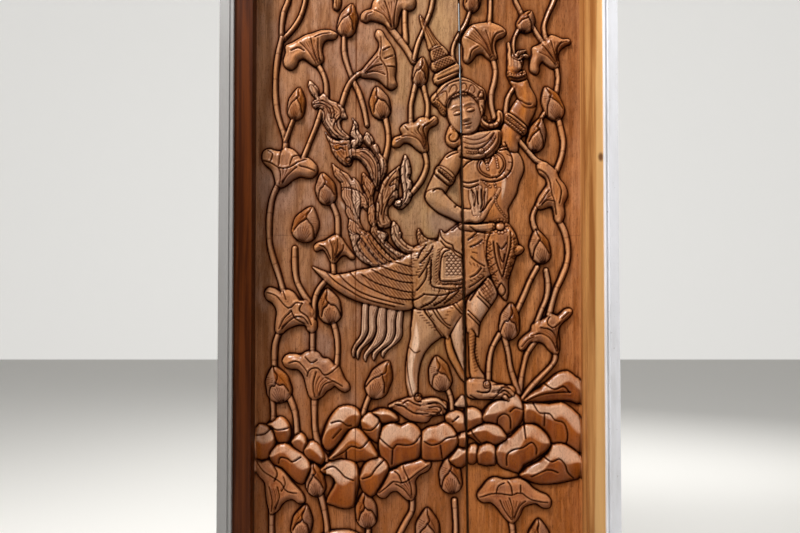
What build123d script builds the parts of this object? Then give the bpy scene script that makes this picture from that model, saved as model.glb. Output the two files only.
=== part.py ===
from build123d import *
import os
from math import cos, sin, pi, hypot

# A carved teak temple door of three planks, hung in its frame.
# X runs to the right of someone who faces the carving, Y away from them, Z up.
# The origin is under the middle of the sill, at half the depth of the frame.

# Leaf
leaf_width = 900.0
leaf_height = 2100.0
ground_thickness = 30.0      # wood left behind the carving
carving_height = 20.0        # from the ground to the uncut face of the plank
leaf_margin = 8.0            # uncut strip round the leaf, hidden by the stop
joint_1 = -170.0             # glued joint, from the middle of the leaf
joint_2_top = 109.0          # open joint, at the top of the leaf
joint_2_bottom = 140.0       # the same, at its foot: the joint leans
joint_2_gap = 4.0
closed_depth = 15.0          # the open joint is shut at the back of the planks
closed_height = 1422.0       # up to this height above the foot of the leaf

# Gaps round the leaf
edge_gap = 3.0
top_gap = 3.0
foot_gap = 5.0

# Frame
frame_face = 50.0
frame_depth = 110.0
sill_height = 50.0
stop_width = 12.0            # how far the stop stands in front of the leaf's gap
rebate_depth = 52.0
tenon_length = 30.0
tenon_height = 26.0
tenon_thickness = 15.0
tenon_setback = 30.0         # from the front of the frame
tenon_fit = 0.1
peg_side = 9.0
peg_length = 65.0

# Painted casing round the frame
casing_width = 38.0
casing_thickness = 12.0
casing_lap = 3.0             # how far it laps onto the frame
casing_return = 35.0         # leg along the outer side of the frame
bead_radius = 3.5
quirk_width = 5.0
quirk_depth = 4.0

# Loose tenons between the planks
key_count = 7
key_height = 33.0
key_thickness = 10.0
key_length = 80.0
key_foot = 138.0             # from the foot of the leaf to the middle of the lowest key
key_head = 102.0             # from the top of the leaf to the middle of the highest
key_fit = 0.1

# Ledges across the back of the leaf
ledge_count = 3
ledge_height = 120.0
ledge_thickness = 25.0
ledge_bevel = 8.0
ledge_end = 65.0             # from the edge of the leaf
ledge_inset = 245.0          # from the ends of the leaf to the outer ledges

# Square forged nails, driven through the ledges
nail_side = 5.0
nail_length = 45.0
nail_head_side = 15.0
nail_head = 4.0
nail_edge = 60.0             # from the side of each plank
nail_fit = 0.1

# Butt hinges
hinge_count = 3
hinge_height = 120.0
hinge_inset = 180.0          # from the ends of the leaf
hinge_plate = 2.5
hinge_recess = 1.3           # how deep each plate is let into the wood
hinge_depth = 41.0           # along the edge of the leaf
hinge_axis_out = 7.0         # from the back of the leaf to the pin
knuckle_radius = 6.5
knuckle_count = 3
knuckle_gap = 0.3
pin_radius = 3.0
pin_fit = 0.05
pin_head_radius = 5.5
pin_head = 3.0

# Holes for the fixings that hold the frame in a wall
fixing_radius = 4.25
fixing_foot = 670.0          # from the floor to the lower hole
fixing_head = 656.0          # from the top of the jamb to the upper one
fixing_setback = 15.0        # from the back of the frame

# The carver's squared drawing: one square is this wide and high on the wood.
# Columns count to the right, rows down, and these two fall on the middle of the leaf.
square = 2.739
middle_column = 418.0
middle_row = 266.0
stem_height = 10.0
bud_height = 16.0
bud_corners = 9
lily_height = 13.5
boulder_height = 17.0
wing_height = 15.0
tail_feather_height = 9.0
sunk = 1.0                   # how far the carving's solids run into the plank
slack = 1.0                  # a corner this near to the line past it is left out

# Heights and depths worked out
back = frame_depth / 2
front = -back
opening_left = -leaf_width / 2 - edge_gap
opening_right = leaf_width / 2 + edge_gap
leaf_foot = sill_height + foot_gap
leaf_top = leaf_foot + leaf_height
opening_top = leaf_top + top_gap
stop_back = back - rebate_depth
jamb_height = opening_top - stop_width + frame_face
sill_front_height = sill_height + foot_gap + stop_width - top_gap
sight = leaf_width / 2 + edge_gap - stop_width
outer = sight + frame_face
ground = back - ground_thickness
face = ground - carving_height
leaf_middle = leaf_foot + leaf_height / 2
hinge_x = opening_left + edge_gap / 2
hinge_y = back + hinge_axis_out


def spread(low, high, count):
    # evenly spaced levels from the lowest to the highest
    return [low + (high - low) * i / (count - 1) for i in range(count)]


def block(x0, x1, y0, y1, z0, z1):
    # the three pairs are the block's sides
    size = Box(x1 - x0, y1 - y0, z1 - z0, align=(Align.MIN, Align.MIN, Align.MIN))
    return Pos(x0, y0, z0) * size


def board(corners, y0, y1):
    # corners are (x, z) pairs on the front, and the board runs from y0 back to y1
    outline = Wire.make_polygon([(x, y0, z) for x, z in corners], close=True)
    return extrude(Face(outline), amount=y1 - y0, dir=(0, 1, 0))


def rod(x, y, z, radius, length, turn=(0, 0, 0)):
    # starts at the point and runs along Z, before it is turned
    bar = Cylinder(radius, length, align=(Align.CENTER, Align.CENTER, Align.MIN))
    return Pos(x, y, z) * Rot(*turn) * bar


def join(shapes):
    whole = shapes[0]
    return whole.fuse(*shapes[1:]).clean() if len(shapes) > 1 else whole


# The drawing. Each outline is a list of "column,row" points, read off the carving.
# STEMS: half the width in squares, and the middle line.
STEMS = [
    (2.6, "291,-30 288,-4 283,10 281,25 281,38"),
    (2.4, "308,-30 305,-4 300,14 292,27 282,38"),
    (2.8, "281,36 277,55 275,75 275,95 277,112 281,126 285,138 285,152"),
    (2.3, "293,118 289,129 285,140"),
    (2.6, "317,62 323,73 326,84 326,98"),
    (2.6, "344,32 344,50 348,66 353,79 359,92 364,108 367,124"),
    (2.6, "367,69 358,73 350,81 345,92 341,105"),
    (2.8, "405,4 405,22 406,40"),
    (3.2, "389,24 399,37 407,48 414,60"),
    (2.3, "437,-26 433,-2 431,8 427,19 423,30 418,42 414,58"),
    (2.5, "416,82 413,95 411,105 411,122"),
    (2.5, "423,82 426,95 428,105 427,119"),
    (2.0, "471,8 466,22 459,33 454,44 453,54 456,62"),
    (2.2, "490,-40 491,-12 491,8 490,22"),
    (2.6, "493,56 496,68 495,80 492,92 492,104 495,117"),
    (2.2, "511,-30 516,-4 520,6 524,14"),
    (2.0, "519,28 514,40 513,56"),
    (2.2, "533,23 538,32 544,41"),
    (2.3, "563,-30 556,-4 549,12 545,25 547,37"),
    (2.4, "557,64 559,77 557,92"),
    (2.2, "549,108 543,115 539,124"),
    (2.8, "559,117 562,130 564,142 562,156 557,170"),
    (2.5, "518,138 528,150 537,160 546,164"),
    (2.3, "514,87 508,98 506,114"),
    (2.5, "538,204 533,215 534,225 538,234"),
    (2.6, "537,267 530,280 525,292 516,312"),
    (2.6, "546,270 548,285 546,298 541,310 536,324"),
    (2.9, "559,220 565,232 568,248 567,262 562,276 556,289 552,302 549,314"),
    (2.6, "555,350 554,360 547,369 537,379 528,389 520,400"),
    (2.6, "535,340 527,352 524,362 521,376 519,392"),
    (2.6, "499,334 492,347 489,361 488,382"),
    (2.6, "504,336 508,352 510,366 514,380 518,392"),
    (2.9, "279,182 273,195 270,210 269,228 270,245 274,260 279,275 284,292"),
    (2.4, "321,110 316,125 310,140 303,158"),
    (2.7, "331,201 337,215 338,226 338,238"),
    (2.9, "295,248 295,265 297,280 302,291 309,302"),
    (2.5, "333,260 334,272"),
    (2.9, "281,328 276,342 275,355 275,370"),
    (2.7, "326,280 319,289 315,300 314,316 313,334 313,354"),
    (2.7, "333,320 337,335 338,350 337,364"),
    (3.0, "315,394 315,414 316,430 320,446 327,458"),
    (2.8, "273,396 274,408 274,420"),
    (3.0, "290,396 296,412 298,432"),
    (2.7, "385,116 388,130 388,145 384,162"),
    (2.7, "424,149 427,162 425,172 420,182 412,192"),
    (2.5, "371,392 366,404 362,418"),
    (2.4, "447,387 451,398 452,412"),
    (3.0, "273,508 273,530 274,560 272,600 273,640"),
    (2.9, "322,494 326,512 328,532 326,580 330,640"),
    (2.6, "300,532 299,556 303,600 300,640"),
    (2.8, "369,522 369,545 373,590 368,640"),
    (2.8, "412,494 412,507 407,517 400,530 393,548 392,600 396,640"),
    (2.7, "454,498 455,515 455,535 450,580 452,640"),
    (2.8, "428,542 430,570 424,640"),
    (2.8, "510,516 512,535 510,570 514,640"),
    (2.6, "538,546 541,580 538,640"),
    (2.4, "345,-46 343,-30 337,-12 336,0"),
    (2.4, "478,-24 481,-50"),
]
BUDS = [
    ("352,1", "344,35", 20), ("299,86", "294,119", 18), ("423,55", "419,85", 16),
    ("477,-24", "471,10", 17), ("532,8", "523,30", 18), ("546,85", "559,119", 21),
    ("541,117", "534,151", 19), ("536,229", "543,263", 21), ("511,302", "508,339", 21),
    ("322,172", "329,204", 21), ("312,206", "301,241", 27), ("327,288", "332,323", 24),
    ("274,365", "283,401", 26), ("376,85", "383,118", 21), ("389,360", "372,397", 24),
    ("436,355", "443,390", 23), ("314,461", "318,494", 20), ("307,502", "300,536", 21),
    ("365,489", "368,525", 22), ("448,454", "452,491", 23), ("427,505", "428,546", 25),
    ("537,516", "538,550", 22), ("293,-62", "292,-28", 20), ("312,-60", "308,-28", 18),
    ("439,-60", "437,-24", 20), ("508,-64", "511,-28", 20), ("567,-62", "563,-28", 18),
]
LEAVES = [
    "330,28 337,32 334,37 326,38 322,44 322,52 323,59 316,65 309,61 303,57 298,59 296,64 291,68 285,66 "
    "283,59 285,51 285,44 291,41 298,37 305,33 312,31 321,28",
    "361,12 365,8 371,6 373,-1 379,-7 391,-11 403,-9 412,-7 416,-1 414,6 408,8 402,8 399,15 397,24 "
    "391,28 384,22 376,19 370,18 366,20 361,18",
    "361,70 366,63 372,56 378,48 379,41 375,34 377,28 382,29 386,36 391,43 395,52 396,66 395,76 397,84 "
    "392,88 386,86 380,80 372,77 362,76",
    "466,29 472,23 480,21 490,20 497,22 503,25 507,30 504,35 499,37 496,41 496,48 498,56 493,59 488,57 "
    "483,52 477,53 473,58 468,62 464,58 464,48 462,38",
    "392,141 395,136 402,134 400,128 404,123 410,122 415,121 419,117 425,116 429,118 434,115 438,118 "
    "437,123 431,126 428,130 427,137 428,144 428,150 422,152 416,148 410,143 404,142 399,146 393,146",
    "546,38 552,33 559,35 564,37 570,37 572,41 566,44 561,48 559,54 560,62 559,66 553,67 547,63 543,60 "
    "540,64 540,70 536,73 531,69 531,60 533,53 533,46 539,43",
    "263,151 269,148 276,150 281,150 286,147 293,149 298,154 301,158 307,157 312,160 317,166 317,172 "
    "312,177 306,177 300,176 293,179 287,184 281,187 276,184 274,176 271,169 266,165 262,159",
    "537,164 544,161 551,165 557,171 560,178 566,186 568,195 564,204 565,213 563,220 558,223 555,219 "
    "554,211 551,206 541,209 536,206 538,198 543,190 547,184 546,178 540,173",
    "557,315 564,309 570,308 572,312 567,318 561,323 558,330 559,341 558,352 553,353 548,349 543,343 "
    "536,341 530,342 526,347 521,350 518,346 519,340 525,334 530,330 532,324 538,320 545,317 551,313",
    "314,246 318,242 325,240 331,236 337,234 342,238 346,244 351,251 355,257 351,259 346,255 341,256 "
    "336,262 331,262 328,256 323,249 316,251",
    "265,292 269,287 275,288 281,291 288,289 295,293 300,300 306,299 311,304 314,311 313,316 317,321 "
    "317,328 313,332 308,330 306,325 300,324 293,326 287,329 282,333 276,331 276,321 277,311 273,303 "
    "267,299",
    "283,360 287,354 295,353 301,354 306,351 313,350 319,352 323,357 329,358 334,363 339,365 342,371 "
    "345,378 349,383 350,388 345,391 339,388 335,385 331,388 327,390 323,395 317,398 311,397 308,390 "
    "306,382 304,375 299,369 292,368 286,366",
    "255,459 259,454 266,455 272,460 280,465 287,472 293,480 299,486 304,492 306,499 300,501 294,497 "
    "288,498 283,502 279,508 272,511 269,503 267,492 266,481 261,475 256,467",
    "376,489 381,483 385,475 389,469 395,467 401,463 408,460 415,459 422,457 428,458 431,463 427,469 "
    "419,473 415,479 416,487 415,494 409,498 403,494 397,489 391,490 386,495 380,495",
    "477,491 482,484 487,478 494,475 502,477 509,477 517,476 525,479 532,486 539,490 546,493 550,499 "
    "548,505 541,505 535,501 528,502 522,505 519,512 514,519 508,519 502,513 496,505 490,500 483,500 "
    "478,497",
    "320,534 328,529 338,527 349,527 358,530 366,536 364,545 354,549 347,556 340,560 334,556 330,548 "
    "322,544",
    "329,-24 337,-26 343,-20 340,-12 341,0 339,6 336,8 333,5 333,-4 328,-12",
]
BOULDERS = [
    "257,426 264,423 271,426 276,432 277,440 275,449 270,457 257,457",
    "268,423 275,418 281,415 287,418 291,425 292,434 288,442 280,442 276,436 274,428",
    "323,442 324,431 328,420 333,412 339,406 348,404 356,406 361,412 361,420 356,427 349,429 343,437 "
    "336,446 328,449",
    "292,441 296,433 302,431 307,436 308,444 305,453 298,449",
    "305,446 311,439 318,440 323,447 326,456 322,463 313,459 306,456",
    "361,417 368,411 376,412 381,418 381,429 379,441 372,438 363,429",
    "372,411 380,407 388,408 395,412 399,419 390,421 382,422 378,416",
    "329,456 336,446 344,436 350,428 356,426 363,430 369,438 375,447 379,456 372,460 362,459 352,461 "
    "342,457 333,459",
    "445,413 452,409 460,410 466,416 466,430 457,433 451,425 446,421",
    "448,458 452,450 458,445 466,444 466,462 456,466",
    "456,434 466,429 466,446 458,445",
    "464,410 472,406 479,409 483,415 482,422 476,426 466,430",
    "379,446 380,430 386,423 394,421 401,424 408,421 415,423 421,430 422,441 421,451 416,458 405,461 "
    "396,464 388,467 382,458",
    "421,434 424,428 430,425 437,424 444,421 451,424 456,431 458,440 455,448 450,453 443,458 430,459 "
    "422,457",
    "482,412 488,404 496,399 504,396 512,390 518,394 522,402 523,413 520,421 514,427 506,433 499,425 "
    "490,422 482,420",
    "467,430 477,423 488,421 498,424 504,431 506,437 500,442 492,444 486,441 480,443 474,438 467,434",
    "467,446 474,442 478,446 478,456 473,462 467,460",
    "476,448 482,442 490,441 496,447 495,456 494,463 478,462",
    "522,400 528,392 539,386 549,378 557,372 567,370 575,376 580,381 580,402 570,400 556,399 540,401 "
    "530,401",
    "523,402 535,401 548,403 560,401 568,405 575,411 580,419 580,450 572,447 564,442 552,442 549,436 "
    "543,428 534,422 524,422",
    "495,446 502,439 510,435 518,427 526,422 535,424 543,430 549,438 548,447 540,453 531,459 523,463 "
    "518,471 508,468 500,465 495,456",
    "518,473 526,465 538,459 546,451 551,443 560,441 570,446 580,455 580,474 570,478 556,481 540,482 "
    "528,479",
    "271,450 277,443 286,441 294,446 303,451 309,457 312,465 310,473 305,481 299,481 292,475 283,466 "
    "275,463 271,457",
    "321,467 328,460 337,457 347,457 355,460 359,468 360,480 357,492 354,504 344,506 334,503 327,500 "
    "331,490 336,480 331,473 324,472",
    "360,472 364,463 370,457 377,455 384,456 389,463 388,471 383,481 378,489 371,495 364,490 360,481",
]
TAIL = [
    (9, 0.9, "309,80 314,82 318,88 320,96 324,93 329,97 336,99 341,104 345,111 345,118 341,121 344,129 "
        "349,136 351,142 343,140 334,137 327,130 323,121 322,112 318,109 313,108 310,103 315,99 315,91"),
    (10, 0.9, "328,138 336,140 345,141 351,144 353,150 361,149 368,150 375,155 379,163 377,172 372,180 "
        "367,170 362,162 355,158 352,163 347,166 341,163 336,156 332,149 329,144"),
    (8, 0.85, "352,116 356,121 358,128 360,132 362,138 364,146 358,148 353,149 351,143 350,135 352,126"),
    (11, 0.9, "367,131 371,136 372,142 376,141 378,148 380,156 383,156 386,163 386,170 383,177 379,183 "
        "376,176 377,166 375,157 370,151 365,147 363,140"),
    (11, 0.88, "405,154 408,160 409,167 411,175 411,184 409,192 407,200 403,206 398,208 394,205 394,200 "
        "398,198 402,200 402,192 400,182 400,170 402,161"),
    (10, 0.9, "399,164 399,172 397,180 393,186 389,192 387,200 386,208 388,217 391,224 386,230 379,226 "
        "376,215 377,203 381,192 383,183 388,175 393,169"),
    (8, 0.94, "332,163 342,170 350,177 354,188 356,200 358,215 362,228 370,240 382,251 395,259 384,263 "
        "370,257 358,248 350,236 347,222 345,208 341,196 338,182 335,172"),
    (10, 0.94, "352,178 358,186 362,196 364,208 367,220 373,232 383,243 395,252 403,257 395,259 382,251 "
        "370,240 362,228 358,215 356,200 354,188"),
    (12, 0.94, "366,172 372,182 374,194 373,206 374,218 380,230 390,241 402,250 408,255 403,257 393,251 "
        "383,243 373,232 367,220 364,208 362,196 363,184"),
    (12, 0.92, "393,221 397,224 400,231 402,238 408,244 415,246 421,244 414,250 406,254 398,250 393,244 "
        "391,236 392,228"),
    (8, 0.85, "417,229 420,228 422,233 427,238 437,238 428,242 420,246 418,240 417,234"),
]
FIGURE = [
    (13, 0.9, "405,310 425,308 440,307 452,304 460,300 456,315 450,326 447,337 436,342 427,350 421,361 "
        "418,375 418,390 420,397 408,398 404,388 401,372 400,356 402,335"),
    (12, 0.9, "450,320 463,305 465,320 466,345 466,378 460,365 452,348 447,337"),
    (16, 0.9, "424,309 440,307 462,298 463,311 456,322 449,335 447,338 440,330 432,320"),
    (15, 0.92, "467,301 480,286 488,277 497,293 490,306 480,322 478,336 474,331 467,331"),
    (12, 0.9, "469,329 475,334 474,352 478,366 485,378 474,380 470,372 469,348"),
    (14, 0.88, "466,380 476,377 488,379 500,384 512,385 515,391 506,397 486,398 468,396"),
    (14, 0.88, "391,404 406,397 417,395 424,398 434,399 446,401 445,412 432,415 426,421 410,419 398,411"),
    (15, 0.92, "412,250 420,244 430,240 438,240 440,229 445,233 452,228 458,224 465,222 490,223 505,222 "
        "511,226 517,238 516,256 505,270 488,276 478,286 468,294 455,302 440,307 425,309 414,306 "
        "413,290 412,270"),
    (18, 0.92, "440,251 450,248 456,252 462,258 463,282 450,283 440,281"),
    (19, 0.93, "486,230 484,240 484,250 486,260 489,270 495,285 500,294 506,300 508,291 508,281 511,270 "
        "514,262 516,254 518,244 516,235 512,229 508,226 501,231 495,230"),
    (16, 0.8, "515,246 520,245 524,249 519,254 514,254"),
    (19, 0.95, "460,222 475,224 493,222 493,230 475,231 460,229"),
    (16, 0.9, "462,152 470,156 480,158 490,156 497,150 502,143 506,142 510,150 518,152 523,160 524,170 "
        "520,180 518,186 517,192 512,201 508,209 509,218 506,224 495,222 480,223 465,222 464,205 "
        "462,190 461,170"),
    (19, 0.92, "458,152 465,157 475,159 485,158 493,154 499,146 502,136 501,130 496,129 490,130 480,131 "
        "472,133 464,134 460,138 458,145"),
    (14, 0.88, "452,151 459,150 462,153 461,165 456,175 450,184 445,193 435,204 428,201 425,196 427,189 "
        "432,178 436,170 441,162 446,155"),
    (16, 0.88, "427,191 435,189 442,191 450,199 458,206 464,209 464,222 457,221 449,217 440,213 432,207 "
        "426,199"),
    (17, 0.92, "440,165 455,176 449,185 435,174"),
    (19, 0.92, "462,209 467,205 468,196 468,189 471,187 474,192 477,200 479,198 482,189 485,189 484,200 "
        "485,206 490,196 497,190 499,186 500,189 497,195 491,201 489,208 487,215 483,220 477,223 "
        "470,223 463,222"),
    (14, 0.88, "519,97 527,92 534,95 537,103 535,112 530,122 525,133 519,140 518,151 508,150 502,143 501,132 "
        "503,125 508,115 513,105"),
    (16, 0.88, "509,77 518,80 527,77 531,86 536,95 537,103 532,107 524,106 519,98 515,88"),
    (17, 0.92, "509,112 527,126 522,135 504,120"),
    (17, 0.92, "508,69 516,72 525,69 527,77 518,80 509,77"),
    (14, 0.9, "511,41 513,50 514,56 517,50 521,47 526,50 527,56 524,60 525,68 523,72 515,73 509,71 508,62 "
        "508,52"),
    (9, 0.85, "420,12 426,21 431,29 436,37 441,44 430,49 427,40 424,31 421,21"),
    (12, 0.92, "431,48 441,43 449,54 434,61"),
    (13, 0.92, "432,61 449,54 455,61 436,71"),
    (14, 0.92, "435,73 457,62 461,71 438,84"),
    (13, 0.9, "431,97 433,103 438,107 441,112 445,115 447,108 452,96 449,87 441,88 435,92"),
    (15, 0.92, "437,92 440,86 447,80 455,76 463,76 471,79 478,84 485,89 486,98 483,104 476,103 466,100 "
        "456,101 449,106 442,104"),
    (19, 0.8, "447,106 448,100 453,96 460,93 468,94 474,97 479,103 480,112 480,122 477,130 471,134 464,134 "
        "457,130 451,122 448,114"),
    (15, 0.9, "479,99 484,99 485,108 483,116 479,114"),
    (15, 0.92, "480,119 482,125 488,129 495,128 501,124 504,118 503,112 499,109 497,112 497,118 494,122 "
        "488,122 484,119 484,113 481,113"),
    (13, 0.9, "451,124 447,132 446,139 448,144 453,147 458,146 461,142 460,135 456,130"),
]
WING = ("312,266 322,270 334,274 346,273 358,270 370,268 381,265 392,261 402,257 412,252 420,254 "
        "417,270 416,288 413,300 412,308 400,310 388,308 375,305 362,302 349,297 337,290 326,281 "
        "318,273")
TAIL_FEATHERS = [
    "363,303 369,303 368,320 368,330 364,338 357,347 354,357 352,351 355,343 361,334 362,320",
    "370,303 379,305 376,318 376,330 372,339 362,348 358,359 357,350 364,341 369,331 369,318",
    "380,305 387,307 386,320 386,332 382,342 369,353 366,361 364,354 372,343 377,331 377,318",
    "388,307 397,309 395,322 395,333 391,342 379,351 374,360 373,352 383,342 387,332 387,320",
    "398,309 403,311 402,325 402,335 397,342 387,350 383,357 382,351 391,343 396,333 396,322",
]


def points(text):
    # the corners of a line, without those that hardly turn it
    spots = [tuple(float(number) for number in pair.split(",")) for pair in text.split()]
    kept = spots[:1]
    for spot, after in zip(spots[1:], spots[2:]):
        run = (after[0] - kept[-1][0], after[1] - kept[-1][1])
        off = (spot[0] - kept[-1][0]) * run[1] - (spot[1] - kept[-1][1]) * run[0]
        if abs(off) > slack * hypot(*run):
            kept.append(spot)
    return kept + spots[-1:] if len(spots) > 1 else kept


def on_leaf(spot):
    column, row = spot
    return (column - middle_column) * square, leaf_middle + (middle_row - row) * square


def facets(rings):
    # each ring is (outline, y), and the outlines' matching sides are parallel
    loops = [[(x, y, z) for x, z in map(on_leaf, outline)] for outline, y in rings]
    sides = []
    for lower, upper in zip(loops, loops[1:]):
        for i in range(len(lower)):
            j = (i + 1) % len(lower)
            sides.append([lower[i], lower[j], upper[j], upper[i]])
    skin = [Face(Wire.make_polygon(side, close=True)) for side in [loops[0], loops[-1]] + sides]
    return Solid(Shell(skin))


def shrunk(outline, share):
    middle_x = sum(x for x, _ in outline) / len(outline)
    middle_y = sum(y for _, y in outline) / len(outline)
    return [(middle_x + (x - middle_x) * share, middle_y + (y - middle_y) * share) for x, y in outline]


def mound(outline, height, shares):
    # steps inwards as it rises, by one share of the outline for each level
    levels = [ground + sunk] + [ground - height * (i + 1) / len(shares) for i in range(len(shares))]
    return facets([(shrunk(outline, share), y) for share, y in zip([1.0] + shares, levels)])


def ribbon(course, half_width):
    # both sides of a line of runs, mitred at its corners
    left, right = [], []
    last = len(course) - 1
    for i, (x, y) in enumerate(course):
        before = course[max(i - 1, 0)]
        after = course[min(i + 1, last)]
        ins = (x - before[0], y - before[1]) if i else (after[0] - x, after[1] - y)
        out = (after[0] - x, after[1] - y) if i < last else ins
        a = (-ins[1] / hypot(*ins), ins[0] / hypot(*ins))
        b = (-out[1] / hypot(*out), out[0] / hypot(*out))
        reach = half_width / (1 + a[0] * b[0] + a[1] * b[1])
        shift = ((a[0] + b[0]) * reach, (a[1] + b[1]) * reach)
        left.append((x + shift[0], y + shift[1]))
        right.append((x - shift[0], y - shift[1]))
    return left + right[::-1]


def stem(half_width, text):
    course = points(text)
    return facets([(ribbon(course, half_width), ground + sunk),
                   (ribbon(course, half_width * 0.5), ground - stem_height)])


def bud(tip_text, foot_text, width):
    # an egg with its thick end at the stem
    tip, foot = points(tip_text)[0], points(foot_text)[0]
    length = hypot(tip[0] - foot[0], tip[1] - foot[1])
    along = ((tip[0] - foot[0]) / length, (tip[1] - foot[1]) / length)
    middle = ((tip[0] + foot[0]) / 2, (tip[1] + foot[1]) / 2)
    outline = []
    for i in range(bud_corners):
        turn = 2 * pi * i / bud_corners
        run = length / 2 * cos(turn)
        wide = width / 2 * sin(turn) * (1 - 0.3 * cos(turn))
        outline.append((middle[0] + along[0] * run - along[1] * wide,
                        middle[1] + along[1] * run + along[0] * wide))
    return mound(outline, bud_height, [0.9, 0.5])


def carving():
    shapes = [stem(half_width, text) for half_width, text in STEMS]
    shapes += [mound(points(text), lily_height, [0.9]) for text in LEAVES]
    shapes += [bud(*spec) for spec in BUDS]
    shapes += [mound(points(text), boulder_height, [0.94, 0.66]) for text in BOULDERS]
    shapes += [mound(points(text), height, [share]) for height, share, text in TAIL + FIGURE]
    shapes += [mound(points(text), tail_feather_height, [0.9]) for text in TAIL_FEATHERS]
    shapes.append(mound(points(WING), wing_height, [0.9]))
    return shapes


# Leaf
def joint_2_at(z):
    share = (z - leaf_foot) / leaf_height
    return joint_2_bottom + (joint_2_top - joint_2_bottom) * share


def plank_corners():
    left, right = -leaf_width / 2, leaf_width / 2
    half = joint_2_gap / 2
    low, high = joint_2_bottom, joint_2_top
    return {
        "plank_left": [(left, leaf_foot), (joint_1, leaf_foot), (joint_1, leaf_top), (left, leaf_top)],
        "plank_middle": [(joint_1, leaf_foot), (low - half, leaf_foot), (high - half, leaf_top),
                         (joint_1, leaf_top)],
        "plank_right": [(low + half, leaf_foot), (right, leaf_foot), (right, leaf_top),
                        (high + half, leaf_top)],
    }


def key_places(at_joint):
    levels = spread(leaf_foot + key_foot, leaf_top - key_head, key_count)
    return [(at_joint(z), z) for z in levels]


def key(x, z, play):
    y = back - ground_thickness / 2
    half_length = key_length / 2 + play
    half_height = key_height / 2 + play
    half_thickness = key_thickness / 2 + play
    return block(x - half_length, x + half_length, y - half_thickness, y + half_thickness,
                 z - half_height, z + half_height)


def keys():
    return {"joint_1_keys": key_places(lambda z: joint_1), "joint_2_keys": key_places(joint_2_at)}


def nail(x, z, play):
    half, head = nail_side / 2 + play, nail_head_side / 2
    face_y = back + ledge_thickness
    shank = block(x - half, x + half, face_y - nail_length, face_y + 1, z - half, z + half)
    if play:
        return shank
    ring = [(x - head, z - head), (x + head, z - head), (x + head, z + head), (x - head, z + head)]
    foot = Face(Wire.make_polygon([(u, face_y, w) for u, w in ring], close=True))
    return shank + extrude(foot, amount=nail_head, dir=(0, 1, 0), taper=35)


def ledge_levels():
    return spread(leaf_foot + ledge_inset, leaf_top - ledge_inset, ledge_count)


def ledge(z):
    left, right = -leaf_width / 2 + ledge_end, leaf_width / 2 - ledge_end
    bar = block(left, right, back, back + ledge_thickness, z - ledge_height / 2, z + ledge_height / 2)
    outer_edges = bar.faces().sort_by(Axis.Y)[-1].edges()
    return chamfer(outer_edges, ledge_bevel)


def nail_places():
    # on each ledge, one nail by each side of each plank, by turns high and low
    sides = [(-leaf_width / 2 + ledge_end, joint_1), (joint_1, joint_2_top),
             (joint_2_bottom, leaf_width / 2 - ledge_end)]
    columns = [x for low, high in sides for x in (low + nail_edge, high - nail_edge)]
    steps = [ledge_height / 4 * (1 if i % 2 else -1) for i in range(len(columns))]
    return [(x, z + step) for z in ledge_levels() for x, step in zip(columns, steps)]


# Hinges
def hinge_levels():
    return spread(leaf_foot + hinge_inset, leaf_top - hinge_inset, hinge_count)


def knuckles(z, first):
    # every other knuckle, from the first
    pitch = hinge_height / knuckle_count
    foot = z - hinge_height / 2
    return [(foot + pitch * i + (knuckle_gap / 2 if i else 0),
             foot + pitch * (i + 1) - (knuckle_gap / 2 if i < knuckle_count - 1 else 0))
            for i in range(first, knuckle_count, 2)]


def hinge_half(z, near, far, first):
    # near and far are the two faces of the plate
    clear = back + hinge_axis_out - knuckle_radius - 0.6
    plate = block(near, far, back - hinge_depth, clear, z - hinge_height / 2, z + hinge_height / 2)
    pieces = [plate]
    for low, high in knuckles(z, first):
        pieces.append(block(near, far, clear - 1, hinge_y, low, high))
        pieces.append(rod(hinge_x, hinge_y, low, knuckle_radius, high - low))
    return join(pieces) - rod(hinge_x, hinge_y, z - hinge_height, pin_radius + pin_fit, 2 * hinge_height)


def frame_plate(z):
    inner = opening_left + hinge_plate - hinge_recess
    return hinge_half(z, inner - hinge_plate, inner, 0)


def door_plate(z):
    inner = -leaf_width / 2 - hinge_plate + hinge_recess
    return hinge_half(z, inner, inner + hinge_plate, 1)


def hinge_pin(z):
    foot = z - hinge_height / 2
    shank = rod(hinge_x, hinge_y, foot, pin_radius, hinge_height + pin_head)
    return shank + rod(hinge_x, hinge_y, foot + hinge_height, pin_head_radius, pin_head)


def plank(name, corners, motifs):
    outline = board(corners, ground, back)
    xs = [x for x, _ in corners]
    left, right = min(xs), max(xs)
    rims = [board(corners, face, ground + sunk) & block(left, right, face, back, low, high)
            for low, high in ((leaf_foot, leaf_foot + leaf_margin), (leaf_top - leaf_margin, leaf_top))]
    if name == "plank_left":
        rims.append(block(left, left + leaf_margin, face, ground + sunk, leaf_foot, leaf_top))
    if name == "plank_right":
        rims.append(block(right - leaf_margin, right, face, ground + sunk, leaf_foot, leaf_top))
        half = joint_2_gap / 2
        top = leaf_foot + closed_height
        tongue = [(joint_2_bottom - half, leaf_foot), (joint_2_bottom + half, leaf_foot),
                  (joint_2_at(top) + half, top), (joint_2_at(top) - half, top)]
        rims.append(board(tongue, back - closed_depth, back))
    zone = board(corners, face, ground + sunk)
    # only what crosses the plank's edge has to be cut there
    near, far = max(corners[0][0], corners[3][0]), min(corners[1][0], corners[2][0])
    carved = []
    for shape in motifs:
        box = shape.bounding_box()
        whole = box.min.X > near and box.max.X < far and box.min.Z > leaf_foot and box.max.Z < leaf_top
        inside = shape if whole else shape & zone
        if inside:
            carved += inside.solids()
    return join([outline] + rims + carved)


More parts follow.
